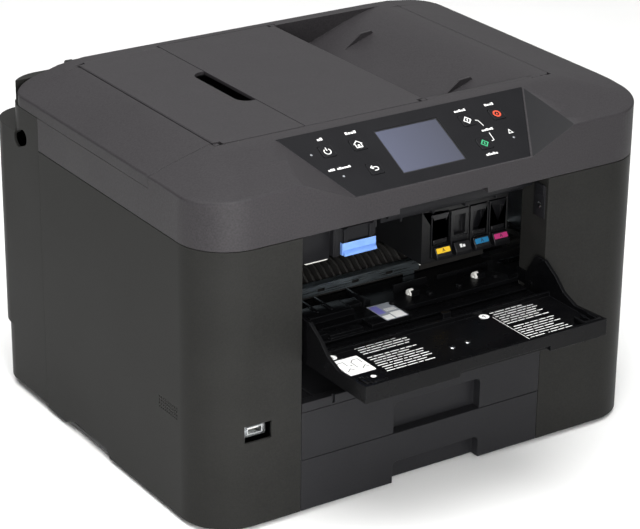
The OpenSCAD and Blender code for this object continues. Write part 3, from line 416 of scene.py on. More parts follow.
def addStroke(bm, points, width, low, high, where, closed=False):
    # A drawn line of even width, as a thin raised band.
    n = len(points)
    left, right = [], []
    for i, p in enumerate(points):
        a = Vector(points[i - 1] if i or closed else p)
        b = Vector(points[(i + 1) % n] if i < n - 1 or closed else p)
        p = Vector(p)
        along = [(q - r).normalized() for q, r in ((p, a), (b, p)) if (q - r).length > 1e-9]
        mean = (along[0] + along[-1]).normalized()
        side = Vector((-mean.y, mean.x))
        reach = width / 2 / max(0.4, side.dot(Vector((-along[0].y, along[0].x))))
        left.append(p + side * reach)
        right.append(p - side * reach)
    if closed:
        for i in range(n):
            j = (i + 1) % n
            addPrism(bm, [left[i], left[j], right[j], right[i]], low, high, where)
    else:
        addPrism(bm, left + right[::-1], low, high, where)


def arcPoints(cx, cy, radius, start, end, steps=12):
    turn = [math.radians(start + (end - start) * i / steps) for i in range(steps + 1)]
    return [(cx + radius * math.cos(t), cy + radius * math.sin(t)) for t in turn]


def roundedOutline(x0, y0, x1, y1, radius, steps=5):
    corners = [(x1 - radius, y1 - radius, 0), (x0 + radius, y1 - radius, 90),
               (x0 + radius, y0 + radius, 180), (x1 - radius, y0 + radius, 270)]
    return [p for cx, cy, a in corners for p in arcPoints(cx, cy, radius, a, a + 90, steps)]


def addLathe(bm, profile, centre, axis, steps):
    # Turns (along, radius) points about an axis through centre, in millimetres.
    turn = {"x": Matrix.Rotation(math.pi / 2, 3, "Y"), "y": Matrix.Rotation(-math.pi / 2, 3, "X"),
            "z": Matrix.Identity(3)}[axis]
    rings = []
    for along, radius in profile:
        ring = []
        for i in range(steps):
            a = 2 * math.pi * i / steps
            v = turn @ Vector((radius * math.cos(a), radius * math.sin(a), along)) * mm
            ring.append(bm.verts.new(v + centre))
        rings.append(ring)
    bm.faces.new(rings[0][::-1])
    bm.faces.new(rings[-1])
    for low, high in zip(rings, rings[1:]):
        for i in range(steps):
            j = (i + 1) % steps
            bm.faces.new((low[i], low[j], high[j], high[i]))


def paintFaces(piece, material, test, leftOnly=False):
    # Gives another material to the faces whose centre, in millimetres, passes the test, or only to
    # those of them that lean to the left.
    piece.data.materials.append(material)
    index = len(piece.data.materials) - 1
    for face in piece.data.polygons:
        x, y, z = face.center
        if leftOnly and face.normal.x >= -0.3:
            continue
        if test(x / mm, (y - frontY) / mm, z / mm):
            face.material_index = index


def within(x0, x1, d0, d1, z0, z1):
    return lambda x, d, z: x0 <= x <= x1 and d0 <= d <= d1 and z0 <= z <= z1


def beyond(axis, radius):
    # Faces further than a radius from an axle that runs across the machine.
    return lambda x, d, z: math.hypot(d - axis[0], z - axis[1]) > radius


# ---- the crowned top: slopes fall from the flat towards the edges and blend at the corners
crown = {"frontRun": 75.0, "frontFall": 14.5, "leftRun": 60.1, "leftFall": 17.5, "rightRun": 50.8,
         "rightFall": 7.0, "ease": 7.0, "blend": 2.2, "edgeRadius": 1.6, "frontCorner": 45.0,
         "backCorner": 24.0, "back": 346.5, "skin": 0.15}


def topDrop(x, d):
    falls = 0.0
    for inside, run, fall in ((d, crown["frontRun"], crown["frontFall"]),
                              (x + halfWidth, crown["leftRun"], crown["leftFall"]),
                              (halfWidth - x, crown["rightRun"], crown["rightFall"])):
        t = run - inside
        falls += (fall / run * (t + math.hypot(t, crown["ease"])) / 2) ** crown["blend"]
    return falls ** (1 / crown["blend"])


def bodyRing(inset):
    # The body's outline drawn in by a distance, always with the same number of points.
    r1, r2 = crown["frontCorner"] - inset, crown["backCorner"] - inset
    w, back = halfWidth - inset, crown["back"] - inset
    corners = [(-w + r1, inset + r1, r1, 180), (w - r1, inset + r1, r1, 270), (w - r2, back - r2, r2, 0),
               (-w + r2, back - r2, r2, 90)]
    ring = []
    for k, (cx, cy, r, a) in enumerate(corners):
        arc = arcPoints(cx, cy, r, a, a + 90, 20)
        nx, ny, nr, na = corners[(k + 1) % 4]
        start = arcPoints(nx, ny, nr, na, na + 1, 1)[0]
        end = arc[-1]
        ring += arc
        ring += [(end[0] + (start[0] - end[0]) * i / 16, end[1] + (start[1] - end[1]) * i / 16)
                 for i in range(1, 16)]
    return ring


def crownSolid():
    radius = crown["edgeRadius"]
    rings = []
    for inset in (-0.8, 0.0, 0.06, 0.18, 0.36, 0.6, 0.9, 1.25, radius, 3, 5, 8, 12, 16, 20):
        roll = radius - math.sqrt(radius ** 2 - (radius - min(max(inset, 0), radius)) ** 2)
        roll += 1.5 if inset < 0 else 0
        rings.append([(x, d, topZ - crown["skin"] - topDrop(x, d) - roll) for x, d in bodyRing(inset)])
    outer = bodyRing(20)
    inner = [(-150 + (x + halfWidth - 20) / (2 * halfWidth - 40) * 310,
              98 + (d - 20) / (crown["back"] - 40) * 222) for x, d in outer]
    for i in range(1, 17):
        t = i / 16
        ring = [(a[0] + (b[0] - a[0]) * t, a[1] + (b[1] - a[1]) * t) for a, b in zip(outer, inner)]
        rings.append([(x, d, topZ - crown["skin"] - (topDrop(x, d) if i < 16 else 0)) for x, d in ring])
    rings.insert(0, [(x, d, 228) for x, d, z in rings[0]])
    bm = bmesh.new()
    made = [[bm.verts.new(place(*p)) for p in ring] for ring in rings]
    n = len(made[0])
    for low, high in zip(made, made[1:]):
        for i in range(n):
            bm.faces.new((low[i], low[(i + 1) % n], high[(i + 1) % n], high[i]))
    bm.faces.new(made[0][::-1])
    bm.faces.new(made[-1])
    return addPiece("crownCutter", bm, satinAbs, None)


def cutTo(node, cutter, material, name):
    piece = addPiece(name, cadCopy(node, 0.3), material, None)
    cut = piece.modifiers.new("crown", "BOOLEAN")
    cut.operation, cut.solver, cut.object = "INTERSECT", "EXACT", cutter
    applyModifiers(piece)
    bm = bmesh.new()
    bm.from_mesh(piece.data)
    bmesh.ops.remove_doubles(bm, verts=bm.verts, dist=0.004 * mm)
    bmesh.ops.dissolve_degenerate(bm, dist=0.004 * mm, edges=bm.edges)
    bm.to_mesh(piece.data)
    bm.free()
    piece.data.shade_smooth()
    piece.data.set_sharp_from_angle(angle=math.radians(24))
    flatten = piece.modifiers.new("flatten", "WEIGHTED_NORMAL")
    flatten.weight, flatten.keep_sharp = 100, True
    applyModifiers(piece)
    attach(piece, bodyOf(node))
    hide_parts(node)
    return piece


cutter = crownSolid()
scannerShell = cutTo("scanner_base", cutter, texturedAbs, "scannerShell")
lidShell = cutTo("document_lid", cutter, texturedAbs, "lidShell")
bpy.data.objects.remove(cutter)


knuckles = {"across": (-150, 130), "half": 14, "overlap": 0.6, "back": 358, "low": 303, "high": 316.5}


def lidKnuckles():
    # The ears behind the crown, which turn on the hinge pins.
    bm = bmesh.new()
    for x in knuckles["across"]:
        addBox(bm, (x - knuckles["half"], crown["back"] - knuckles["overlap"], knuckles["low"]),
               (x + knuckles["half"], knuckles["back"], knuckles["high"]))
    ears = addPiece("earCutter", bm, mattStyrene, None)
    piece = addPiece("lidKnuckles", cadCopy("document_lid", 0.3), mattStyrene, None)
    cut = piece.modifiers.new("ears", "BOOLEAN")
    cut.operation, cut.solver, cut.object = "INTERSECT", "EXACT", ears
    applyModifiers(piece)
    bpy.data.objects.remove(ears)
    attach(piece, "lid")


lidKnuckles()
print("crowned covers: %d and %d faces" % (len(scannerShell.data.polygons), len(lidShell.data.polygons)))

mouldedNodes = (
    ("left_cover", satinAbs, 0.9), ("right_cover", satinAbs, 0.9), ("rear_housing", satinAbs, 1.2),
    ("transport_cover", satinAbs, 0.8), ("front_cover", glossStyrene, 0.5),
    ("cassette_lower", frontAbs, 0.7), ("cassette_upper", frontAbs, 0.7), ("output_tray", frontAbs, 0.4),
    ("output_extension", frontAbs, 0.4), ("feeder_cover", texturedAbs, 0.45),
    ("document_tray", texturedAbs, 0.45), ("control_panel", panelPlastic, 0.2),
    ("power_key", panelPlastic, 0.35), ("home_key", panelPlastic, 0.35), ("back_key", panelPlastic, 0.35),
    ("black_key", panelPlastic, 0.35), ("stop_key", panelPlastic, 0.35), ("color_key", panelPlastic, 0.35),
    ("carriage", mattStyrene, 0.6), ("tank_yellow", tankPropylene, 0.6), ("tank_black", tankPropylene, 0.6),
    ("tank_cyan", tankPropylene, 0.6), ("tank_magenta", tankPropylene, 0.6), ("lock_lever", blueAbs, 0.8),
    ("inner_shelf", glossStyrene, 0.5), ("star_wheel_bar", nickelStrip, 0.2), ("base_tray", mattStyrene, 0.5),
    ("lower_guide_left", texturedAbs, 0.4), ("lower_guide_right", texturedAbs, 0.4),
    ("upper_guide_left", texturedAbs, 0.4), ("upper_guide_right", texturedAbs, 0.4),
    ("platen", mattStyrene, 0.3), ("exit_guide", ribStyrene, 0.3), ("maintenance_unit", mattStyrene, 0.6),
    ("power_supply", mattStyrene, 0.8), ("usb_port", glossStyrene, 0.15),
    ("document_guide_front", panelPlastic, 0.4), ("document_guide_rear", panelPlastic, 0.4),
    ("lid_hinges", mattStyrene, 0.3), ("feet", rubberEpdm, 0.8), ("chassis", zincSheet, 0.15),
    ("drive_pulley", whiteAcetal, 0.15), ("idler_pulley", whiteAcetal, 0.15), ("motors", zincSheet, 0.4),
    ("feed_roller", groundSteel, 0.3), ("exit_roller", groundSteel, 0.3), ("pickup_upper", whiteAcetal, 0.3),
    ("pickup_lower", whiteAcetal, 0.3), ("main_board", solderMask, 0.15), ("rear_sockets", glossStyrene, 0.2),
    ("scan_bar", mattStyrene, 0.4), ("feeder_roller", whiteAcetal, 0.3), ("platen_pad", padFoam, 0.6))
shell = {node: softened(node, material, edge) for node, material, edge in mouldedNodes}
print("moulded edges: %d pieces" % len(shell))

# Pieces of more than one material.
paintFaces(shell["lock_lever"], panelPlastic, lambda x, d, z: z > 230.6)
paintFaces(shell["usb_port"], bareSteel, within(-189.5, -174.5, 5.9, 22.1, 88.4, 95.6))
paintFaces(shell["usb_port"], whiteAcetal, within(-187.6, -176.4, 8.9, 21.1, 91.9, 94.1))
paintFaces(shell["star_wheel_bar"], whiteAcetal, within(34.2, 44, 77, 84, 165, 172))
paintFaces(shell["drive_pulley"], groundSteel,
           lambda x, d, z: d > 193.6 or math.hypot(x + 198, z - 225) < 1.6)
paintFaces(shell["feed_roller"], rubberEpdm, beyond((185, 132), 5))
paintFaces(shell["exit_roller"], rubberEpdm, beyond((105, 133), 4))
paintFaces(shell["pickup_upper"], rubberEpdm, beyond((344, 92), 4))
paintFaces(shell["pickup_lower"], rubberEpdm, beyond((344, 44), 4))
paintFaces(shell["feeder_roller"], rubberEpdm, lambda x, d, z: math.hypot(x + 120, z - 298) > 4)
paintFaces(shell["main_board"], mattStyrene, lambda x, d, z: z > 17.75)
paintFaces(shell["rear_sockets"], bareSteel, lambda x, d, z: x > 150 or (abs(z - 35) < 1.3 and d < 385))
paintFaces(shell["scan_bar"], whiteAcetal, within(-180.6, -175.4, 106, 322, 269.2, 270.4))
paintFaces(shell["maintenance_unit"], rubberEpdm, within(171.9, 196.1, 125.9, 154.1, 120, 142))
paintFaces(scannerShell, mattStyrene, within(-88, -42, 32, 44, 235, 259.3))
# The wings beside the panel are polished like it.
paintFaces(scannerShell, panelPlastic, within(88, 150, -1, 76, 279, 317), leftOnly=True)

plainNodes = {"guide_rod": groundSteel, "carriage_belt": beltNeoprene, "platen_glass": clearGlass,
              "scan_rail": groundSteel, "lcd_screen": lcdGlass}
for node, material in plainNodes.items():
    shown = frame["nodes"][node]
    if not shown.material_slots:
        shown.data.materials.append(material)
    for slot in shown.material_slots:
        slot.material = material

# ---- control panel: printed marks, lamps and a dark ring of painted shade round the screen
facet = {"rise": 36.0, "depth": 72.0, "panelTop": -0.1, "keyTop": 0.4, "ink": 0.06, "line": 0.85}
facetTilt = math.atan2(facet["rise"], facet["depth"])


def onFacet(u, v, h):
    return place(u, v * math.cos(facetTilt) - h * math.sin(facetTilt),
                 topZ - facet["rise"] + v * math.sin(facetTilt) + h * math.cos(facetTilt))


def keyMark(name, key, centre, ink, strokes, dots=()):
    # Lines and filled outlines printed on a key's face, in millimetres from its centre.
    bm = bmesh.new()
    low = facet["keyTop"] - 0.01
    for points, closed, width in strokes:
        addStroke(bm, [(centre[0] + x, centre[1] + y) for x, y in points], width, low,
                  low + facet["ink"], onFacet, closed)
    for outline in dots:
        addPrism(bm, [(centre[0] + x, centre[1] + y) for x, y in outline], low, low + facet["ink"], onFacet)
    return addPiece(name, bm, ink, key)


line = facet["line"]
keyMark("powerMark", "power_key", (-84, 55), whiteInk, [
    (arcPoints(0, -0.4, 3.1, 128, 412, 20), False, line), ([(0, 0.4), (0, 4.0)], False, line)])
keyMark("homeMark", "home_key", (-53, 55), whiteInk, [
    ([(-4.2, 0.2), (0, 3.9), (4.2, 0.2)], False, line),
    ([(-2.9, 0.6), (-2.9, -3.5), (2.9, -3.5), (2.9, 0.6)], False, line)],
    [[(-1.0, -3.2), (1.0, -3.2), (1.0, -0.4), (-1.0, -0.4)]])
keyMark("backMark", "back_key", (-53, 26), whiteInk, [
    ([(-3.4, 1.5), (1.0, 1.5)] + arcPoints(1.0, -0.4, 1.9, 80, -90, 10) + [(-1.6, -2.3)], False, line),
    ([(-1.5, 3.4), (-3.6, 1.5), (-1.5, -0.4)], False, line)])
for name, key, at, ink in (("blackStartMark", "black_key", (61, 55), whiteInk),
                           ("colorStartMark", "color_key", (61, 26), greenInk)):
    keyMark(name, key, at, ink, [([(0, 3.8), (3.5, 0), (0, -3.8), (-3.5, 0)], True, 1.0),
                                 ([(0.5, 1.5), (-0.5, -1.5)], False, 1.1)])
keyMark("stopMark", "stop_key", (93, 55), redInk, [(arcPoints(0, 0, 3.1, 0, 345, 24), True, 1.5)],
        [[(-1.2, -1.0), (1.2, -1.0), (0, 1.3)]])

# Short rows of blocks stand where the panel's captions are: [centre u, v, letters, height]
captions = [(-83, 69.5, (2,), 3.0), (-52, 69.5, (4,), 3.0), (-83.5, 34.5, (3, 6), 2.4),
            (61, 67.5, (5,), 2.6), (92.5, 67.5, (4,), 2.6), (73.5, 40.5, (5,), 2.6), (61, 13.5, (5,), 2.6)]


def greekRow(bm, centre, words, height, low, high, where, rnd):
    pitch, gap = height * 0.95, height * 0.8
    total = sum(words) * pitch + gap * (len(words) - 1)
    x = centre[0] - total / 2
    for letters in words:
        for _ in range(letters):
            tall = height * rnd.choice((0.72, 0.72, 1.0))
            base = centre[1] - height / 2
            addPrism(bm, [(x, base), (x + pitch * 0.78, base), (x + pitch * 0.78, base + tall),
                          (x, base + tall)], low, high, where)
            x += pitch
        x += gap


def panelPrint():
    bm = bmesh.new()
    rnd = random.Random(3)
    low = facet["panelTop"] - 0.01
    high = low + facet["ink"]
    for u, v, words, height in captions:
        greekRow(bm, (u, v), words, height, low, high, onFacet, rnd)
    # bracket between the two start keys, and the alarm triangle
    addStroke(bm, [(68.5, 53.5), (71, 52.5), (72.6, 45.5)], 0.7, low, high, onFacet)
    addStroke(bm, [(72.8, 36.5), (72.4, 27.8), (69.6, 27)], 0.7, low, high, onFacet)
    addStroke(bm, [(90.8, 31), (95.2, 31), (93, 35.2)], 0.7, low, high, onFacet, closed=True)
    addPiece("panelPrint", bm, whiteInk, "printer")


def lampMaterial():
    # Clear acrylic light guide over an unlit diode: pale, slightly cloudy.
    material, tree, shader = newMaterial("acrylicLightGuide", Roughness=0.2, IOR=1.49)
    cloud = addNode(tree, "ShaderNodeTexNoise", {"Vector": objectSpace(tree), "Scale": 1 / (1.2 * mm)})
    mix = addNode(tree, "ShaderNodeMix", {0: cloud.outputs["Fac"], 6: linear("#6f7276"),
                                          7: linear("#8c8f92")}, data_type="RGBA")
    tree.links.new(mix.outputs[2], shader.inputs["Base Color"])
    return material


lampClear = lampMaterial()
lamps = {"centres": ((-99.7, 55), (-84.5, 25.6), (92.5, 25.7)),
         "profile": ((1.15, -2.0), (1.15, -0.25), (0.95, -0.05), (0.5, 0.08))}


def panelLamps():
    bm = bmesh.new()
    for u, v in lamps["centres"]:
        rings = []
        for radius, h in lamps["profile"]:
            rings.append([bm.verts.new(onFacet(u + radius * math.cos(a), v + radius * math.sin(a), h))
                          for a in [2 * math.pi * i / 16 for i in range(16)]])
        bm.faces.new(rings[0])
        bm.faces.new(rings[-1])
        for low, high in zip(rings, rings[1:]):
            for i in range(16):
                bm.faces.new((low[i], low[(i + 1) % 16], high[(i + 1) % 16], high[i]))
    addPiece("panelLamps", bm, lampClear, "printer")


# Painted shade: a dark ring laid inside the screen's recess.
recessShadeRing = {"low": (-31, 14), "high": (35, 66), "width": 1.1, "gap": 0.05}


def screenRecessShade():
    # Dark ring round the display, just under the panel's edge: painted shade standing in for the shaded walls
    # of the screen's recess.
    lo, hi = recessShadeRing["low"], recessShadeRing["high"]
    bm = bmesh.new()
    width = recessShadeRing["width"]
    mid = width / 2 + recessShadeRing["gap"]
    addStroke(bm, [(lo[0] + mid, lo[1] + mid), (hi[0] - mid, lo[1] + mid), (hi[0] - mid, hi[1] - mid),
                   (lo[0] + mid, hi[1] - mid)], width, -0.9, -0.62, onFacet, closed=True)
    addPiece("screenRecessShade", bm, mattStyrene, "printer")


panelPrint()
panelLamps()
screenRecessShade()
print("control panel done")

# ---- inside of the front cover: printed instructions without words, and its small fittings
# A block of rows is [left, right, first row, rows, rows with a gap before them]; a badge is [x, d, radius].
coverPrint = {"level": 154.2, "ink": 0.08, "row": 4.1, "height": 1.1,
              "blocks": ((-99, -47, -16, 12, (4,)), (41, 87, -18.5, 15, (7,))),
              "badges": ((-123, -20, 4.6), (34, -21, 4.6), (-113, -67, 2.4)),
              "card": (-131, -57, -103, -27, 1.5)}


def coverInstructions():
    bm = bmesh.new()
    rnd = random.Random(11)
    low = coverPrint["level"] - 0.02
    high = coverPrint["level"] + coverPrint["ink"]
    for x0, x1, first, rows, gaps in coverPrint["blocks"]:
        d = first
        for row in range(rows):
            if row in gaps:
                d -= coverPrint["row"] * 0.9
            end = x1 - (0 if row % 5 else rnd.uniform(3, 16))
            x = x0 + rnd.uniform(0, 2.5)
            while x < end - 3:
                word = min(rnd.uniform(3, 11), end - x)
                half = coverPrint["height"] / 2 * rnd.uniform(0.8, 1.0)
                addPrism(bm, [(x, d - half), (x + word, d - half), (x + word, d + half), (x, d + half)],
                         low, high, place)
                x += word + rnd.uniform(0.9, 1.6)
            d -= coverPrint["row"]
    addStroke(bm, [(39.5, -26), (39.5, -78)], 0.5, low, high, place)
    # round numbered badges
    for x, d, radius in coverPrint["badges"]:
        addPrism(bm, arcPoints(x, d, radius, 0, 345, 23), low, high, place)
    addPrism(bm, roundedOutline(*coverPrint["card"]), low, high, place)
    addPiece("coverInstructions", bm, whiteInk, "front_door")
    # line drawing on the white card and in the badges
    bm = bmesh.new()
    high += 0.05
    for cx in (-124.5, -110):
        sheet = [(cx - 4.5, -47), (cx - 4.5, -36), (cx - 1, -32.5), (cx + 4, -32.5), (cx + 4, -40)]
        addStroke(bm, sheet, 0.7, low, high, place)
        addStroke(bm, [(cx - 2, -50), (cx + 3, -45.5), (cx + 5, -49)], 0.8, low, high, place)
    addStroke(bm, [(-118.6, -41), (-116.2, -41)], 0.9, low, high, place)
    for x, d, _ in coverPrint["badges"][:2]:
        addStroke(bm, [(x - 1.4, d + 0.8), (x + 0.3, d + 2.0), (x + 0.3, d - 2.2)], 0.8, low, high, place)
    addPiece("coverDrawing", bm, blackInk, "front_door")


def coverFittings():
    bm = bmesh.new()
    for x, d in ((-9, -55), (-26, -57)):
        addLathe(bm, [(0, 2.6), (0.5, 2.6), (0.9, 2.0), (1.0, 1.2)], place(x, d, 154.1), "z", 20)
    addPiece("coverStuds", bm, groundSteel, "front_door")
    bm = bmesh.new()
    # catch towers in the two front corners, and low ribs inside the rim
    for x0, x1 in ((-133.5, -129.5), (-127.5, -124)):
        addBox(bm, (x0, -87.5, 154), (x1, -74, 161.5 if x0 < -130 else 160), 0.5)
    addBox(bm, (-124.5, -87.5, 154), (-112, -84.5, 160.8), 0.5)
    addBox(bm, (93, -87.5, 154), (108.8, -84.5, 160.8), 0.5)
    for x in (93, 100, 107):
        addBox(bm, (x, -86, 154), (x + 1.8, -70, 159.5), 0.4)
    addBox(bm, (-46, -87.6, 154), (-44, -80, 158.5), 0.4)
    addBox(bm, (54, -87.6, 154), (56, -80, 158.5), 0.4)
    # step along the hinge side
    addBox(bm, (-133, -13.2, 153.2), (-5, -10.8, 156.5), 0.5)
    addBox(bm, (5, -13.2, 153.2), (108, -10.8, 156.5), 0.5)
    addPiece("coverCatches", bm, glossStyrene, "front_door")


coverInstructions()
coverFittings()
print("front cover done")

# ---- the bay behind the cover
bay = {"right": 114.7}


def bayPanels():
    bm = bmesh.new()
    # plate hanging below the scanner at the left, with its folded post beside the lever
    addBox(bm, (-134, 26, 221), (-96, 28.5, 258.6), 0.5)
    addBox(bm, (-134, 28, 221), (-96, 40, 223.5), 0.5)
    addBox(bm, (-96, 20, 224), (-93.5, 40, 258.6), 0.4)
    addBox(bm, (-93.6, 20, 224), (-89, 22, 258.6), 0.4)
    # ceiling step right of the lever
    addBox(bm, (-42, 18, 247), (112, 30, 258.8), 0.6)
    addBox(bm, (-42, 29, 240), (112, 31.5, 258.8), 0.6)
    for x in (-20, 14, 48, 82):
        addBox(bm, (x, 31, 236), (x + 2, 44, 258.8), 0.4)
    addPiece("bayPanels", bm, panelPlastic, "printer")
    bm = bmesh.new()
    addPrism(bm, roundedOutline(-83.0, 231.3, -47.0, 243.4, 1.0), 29.6, 32.4,
             lambda u, v, h: place(u, h, v))
    addPiece("leverPlate", bm, panelPlastic, "lock_lever")


leverLip = {"left": -81.5, "right": -48.5, "rounding": 0.7}


def leverGrip():
    # Curled lower lip of the lever.
    bm = bmesh.new()
    section = [(27.0, 224.5), (24.6, 222.6), (23.6, 220.9), (24.4, 219.6), (26.4, 219.6), (28.6, 220.9),
               (30.4, 222.4), (30.6, 224.5)]
    addPrism(bm, section, leverLip["left"], leverLip["right"], lambda u, v, h: place(h, u, v))
    piece = addPiece("leverLip", bm, blueAbs, "lock_lever", 40)
    edge = piece.modifiers.new("edge", "BEVEL")
    edge.width = leverLip["rounding"] * mm
    edge.segments = 3


def whiteSlider():
    # Small white head-gap slider at the far left of the bay.
    bm = bmesh.new()
    addBox(bm, (-118, 29, 218.5), (-95.5, 33.5, 221.5), 0.5)
    addBox(bm, (-116, 30, 221.2), (-103, 33, 223.4), 0.5)
    addBox(bm, (-101.5, 30, 221.2), (-97.5, 33, 222.8), 0.4)
    addPiece("gapSlider", bm, whiteAcetal, "printer")


clips = {"across": (2.6, 73.6), "width": 4.8}


def shelfFittings():
    bm = bmesh.new()
    # ledge between the shelf and the cover's hinge line
    addBox(bm, (-131, 12.5, 149.6), (107, 28.4, 151.6), 0.4)
    addBox(bm, (-60, 12.5, 151.4), (-18, 28.4, 155.9), 0.5)
    addBox(bm, (-128, 14, 151.4), (-104, 27, 158.5), 0.6)
    addBox(bm, (-100, 16, 151.4), (-66, 27, 154.5), 0.6)
    # boxes and ribs along the shelf's left half
    addBox(bm, (-106, 38.5, 160.5), (-64, 60, 162.6), 0.5)
    addBox(bm, (-58, 50, 155.9), (-36, 64, 159.5), 0.6)
    for x in (-94, -80, -46):
        addBox(bm, (x, 46, 155.9), (x + 1.6, 74, 164), 0.3)
    for x in (-20, 20, 52, 92):
        addLathe(bm, [(-0.4, 3.2), (1.8, 3.0), (2.4, 2.2), (2.5, 1.0)], place(x, 40, 156), "z", 20)
    addBox(bm, (-6, 58, 155.9), (30, 60, 163), 0.4)
    addBox(bm, (44, 62, 155.9), (100, 64, 160), 0.4)
    addPiece("shelfFittings", bm, glossStyrene, "printer")
    bm = bmesh.new()
    hook = [(45, 156), (45, 157.8), (47.4, 160.6), (49.2, 161), (51.6, 159), (52.3, 156)]
    for x in clips["across"]:
        addPrism(bm, hook, x, x + clips["width"], lambda u, v, h: place(h, u, v))
        addBox(bm, (x - 1, 47.4, 155.8), (x + clips["width"] + 1, 50, 157.7), 0.4)
    addPiece("shelfClips", bm, whiteAcetal, "printer")


label = {"shelf": 155.9, "face": 156.0, "top": 156.1}


def shelfLabel():
    bm = bmesh.new()
    addPrism(bm, roundedOutline(-44, 13.5, -21, 45, 1.0), label["shelf"], 156.05, place)
    addPiece("shelfLabel", bm, greyLabel, "printer")
    bm = bmesh.new()
    addPrism(bm, roundedOutline(-43, 14.5, -34.5, 23, 0.5), label["face"], label["top"], place)
    addPrism(bm, roundedOutline(-33, 14.5, -22, 26, 0.5), label["face"], label["top"], place)
    for i in range(8):
        x = -33.5 + i * 1.4
        addPrism(bm, [(x, 29), (x + 0.8, 29), (x + 0.8, 35), (x, 35)], label["face"], label["top"], place)
    addPiece("labelWhite", bm, whiteInk, "printer")
    bm = bmesh.new()
    addPrism(bm, roundedOutline(-43, 27, -35.5, 43, 0.5), label["face"], label["top"], place)
    addPiece("labelViolet", bm, violetInk, "printer")


nose = {"top": (41.2, 197.6), "bottom": (37.1, 191.2)}


def tankLabels():
    # Sloped nose labels: one hue for each ink, with a small block mark.
    top, bottom = nose["top"], nose["bottom"]
    slope = Vector((top[0] - bottom[0], top[1] - bottom[1])).normalized()
    out = Vector((-slope.y, slope.x))
    for name, x, hue in (("yellow", 33, yellowLabel), ("black", 54, None), ("cyan", 75, cyanLabel),
                         ("magenta", 96, magentaLabel)):
        def onNose(u, v, h, x=x):
            p = Vector(bottom) + slope * v + out * h
            return place(x + u, p.x, p.y)
        if hue:
            bm = bmesh.new()
            addPrism(bm, roundedOutline(-7.2, 2.2, 7.2, 6.8, 0.6), -0.05, 0.12, onNose)
            addPiece("noseLabel_" + name, bm, hue, "tank_" + name)
        bm = bmesh.new()
        if hue:
            addStroke(bm, [(-1, 3.2), (0.2, 5.8), (1.4, 3.2)], 0.7, 0.1, 0.2, onNose)
        else:
            greekRow(bm, (0, 4.5), (2,), 3.2, 0.0, 0.14, onNose, random.Random(5))
        addPiece("noseMark_" + name, bm, blackInk if hue else whiteInk, "tank_" + name)


def wallBracket():
    # Flat bracket with its screw on the right wall of the bay, clear of the closed cover's arm.
    bm = bmesh.new()
    right = bay["right"]
    addBox(bm, (right - 1.6, 2, 220), (right - 0.2, 17, 250), 0.4)
    addBox(bm, (right - 1.9, 3.5, 241), (right - 0.4, 15.5, 251), 0.4)
    addPiece("wallBracket", bm, panelPlastic, "printer")
    bm = bmesh.new()
    turned = [(-0.5, 0.8), (-0.5, 1.8), (-0.35, 2.6), (-0.15, 3.0), (0.2, 3.0)]
    addLathe(bm, turned, place(right - 1.4, 9, 231), "x", 24)
    addPiece("bracketScrew", bm, groundSteel, "printer")


bayPanels()
leverGrip()
whiteSlider()
shelfFittings()
shelfLabel()
tankLabels()
wallBracket()
print("bay done")

# ---- floor, light and camera
backdrop = {"size": 6.0, "colour": "#f4f4f3", "colourToo": "#f8f8f7"}


def paintedFloor():
    # Matt white sweep with a barely visible mottle.
    material, tree, shader = newMaterial("mattWhiteSweep", Roughness=0.75)
    mottle = addNode(tree, "ShaderNodeTexNoise", {"Vector": objectSpace(tree), "Scale": 6.0})
    mix = addNode(tree, "ShaderNodeMix", {0: mottle.outputs["Fac"], 6: linear(backdrop["colour"]),
                                          7: linear(backdrop["colourToo"])}, data_type="RGBA")
    tree.links.new(mix.outputs[2], shader.inputs["Base Color"])
    bm = bmesh.new()
    s = backdrop["size"]
    corners = [bm.verts.new((x, y, 0)) for x, y in ((-s, -s), (s, -s), (s, s), (-s, s))]
    bm.faces.new(corners)
    floor = addPiece("floor", bm, material, None)


paintedFloor()
studioWorld = {"backdrop": "#ffffff", "walls": 0.22, "ceiling": 0.3}


def addWorld():
    # White backdrop, while the unlit studio round it sends back little light, most from above.
    world = bpy.data.worlds.new("studio")
    bpy.context.scene.world = world
    world.use_nodes = True
    tree = world.node_tree
    seen = addNode(tree, "ShaderNodeLightPath").outputs["Is Camera Ray"]
    up = addNode(tree, "ShaderNodeSeparateXYZ", {0: addNode(tree, "ShaderNodeTexCoord").outputs["Generated"]})
    room = addNode(tree, "ShaderNodeMapRange", {"Value": up.outputs["Z"], "From Min": 0.0, "From Max": 0.9,
                                                "To Min": studioWorld["walls"],
                                                "To Max": studioWorld["ceiling"]})
    strength = addNode(tree, "ShaderNodeMix", {0: seen, 2: room.outputs[0], 3: 1.0})
    shader = tree.nodes["Background"]
    shader.inputs["Color"].default_value = linear(studioWorld["backdrop"])
    tree.links.new(strength.outputs[0], shader.inputs["Strength"])


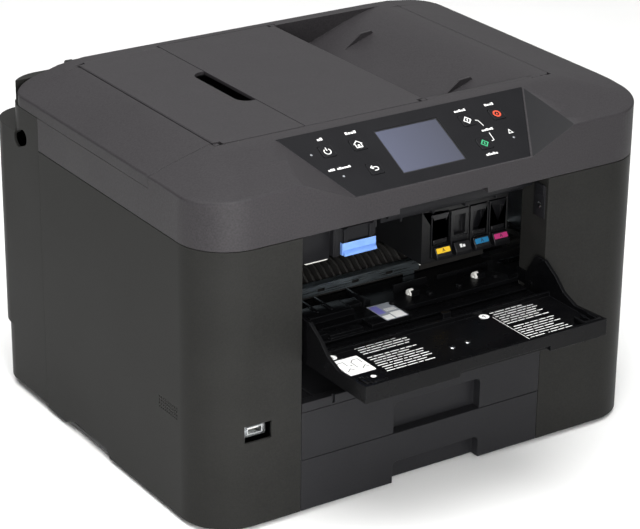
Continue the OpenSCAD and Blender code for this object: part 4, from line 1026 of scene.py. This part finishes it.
addWorld()
bpy.context.scene.view_settings.view_transform = "Standard"

studioLights = {
    "overhead": {"at": (-0.35, -0.15, 2.4), "aim": (0, 0, 0.2), "size": (2.6, 2.0), "watts": 92},
    "corner": {"at": (-0.45, -0.85, 0.42), "aim": (-0.2, -0.15, 0.16), "size": (0.35, 0.6), "watts": 9},
    "front": {"at": (0.2, -1.9, 1.0), "aim": (0, 0, 0.15), "size": (1.2, 0.7), "watts": 3},
    "back": {"at": (1.6, 2.4, 1.5), "aim": (0, 0, 0.3), "size": (2.6, 1.4), "watts": 7},
}
for name, light in studioLights.items():
    data = bpy.data.lights.new(name, "AREA")
    data.shape = "RECTANGLE"
    data.size, data.size_y = light["size"]
    data.energy = light["watts"]
    lamp = bpy.data.objects.new(name, data)
    bpy.context.scene.collection.objects.link(lamp)
    lamp.location = light["at"]
    lamp.visible_camera = False
    aim = Vector(light["aim"]) - Vector(light["at"])
    lamp.rotation_euler = aim.to_track_quat("-Z", "Y").to_euler()

# The camera stands front-left and above, at the height of a person looking down on a desk.
cameraView = {"place": (-1.12218, -1.66242, 1.01377), "azimuth": -33.492, "elevation": 23.364,
              "roll": 0.673, "lens": 134.85}


def addCamera():
    data = bpy.data.cameras.new("camera")
    data.lens = cameraView["lens"]
    data.sensor_width = 36.0
    data.clip_start, data.clip_end = 0.05, 50
    camera = bpy.data.objects.new("camera", data)
    bpy.context.scene.collection.objects.link(camera)
    az, el = math.radians(cameraView["azimuth"]), math.radians(cameraView["elevation"])
    ahead = Vector((-math.sin(az) * math.cos(el), math.cos(az) * math.cos(el), -math.sin(el)))
    side = ahead.cross(Vector((0, 0, 1))).normalized()
    up = side.cross(ahead)
    roll = math.radians(cameraView["roll"])
    sideRolled = side * math.cos(roll) + up * math.sin(roll)
    upRolled = up * math.cos(roll) - side * math.sin(roll)
    turn = Matrix((sideRolled, upRolled, -ahead)).transposed()
    camera.matrix_world = Matrix.Translation(cameraView["place"]) @ turn.to_4x4()
    bpy.context.scene.camera = camera


addCamera()
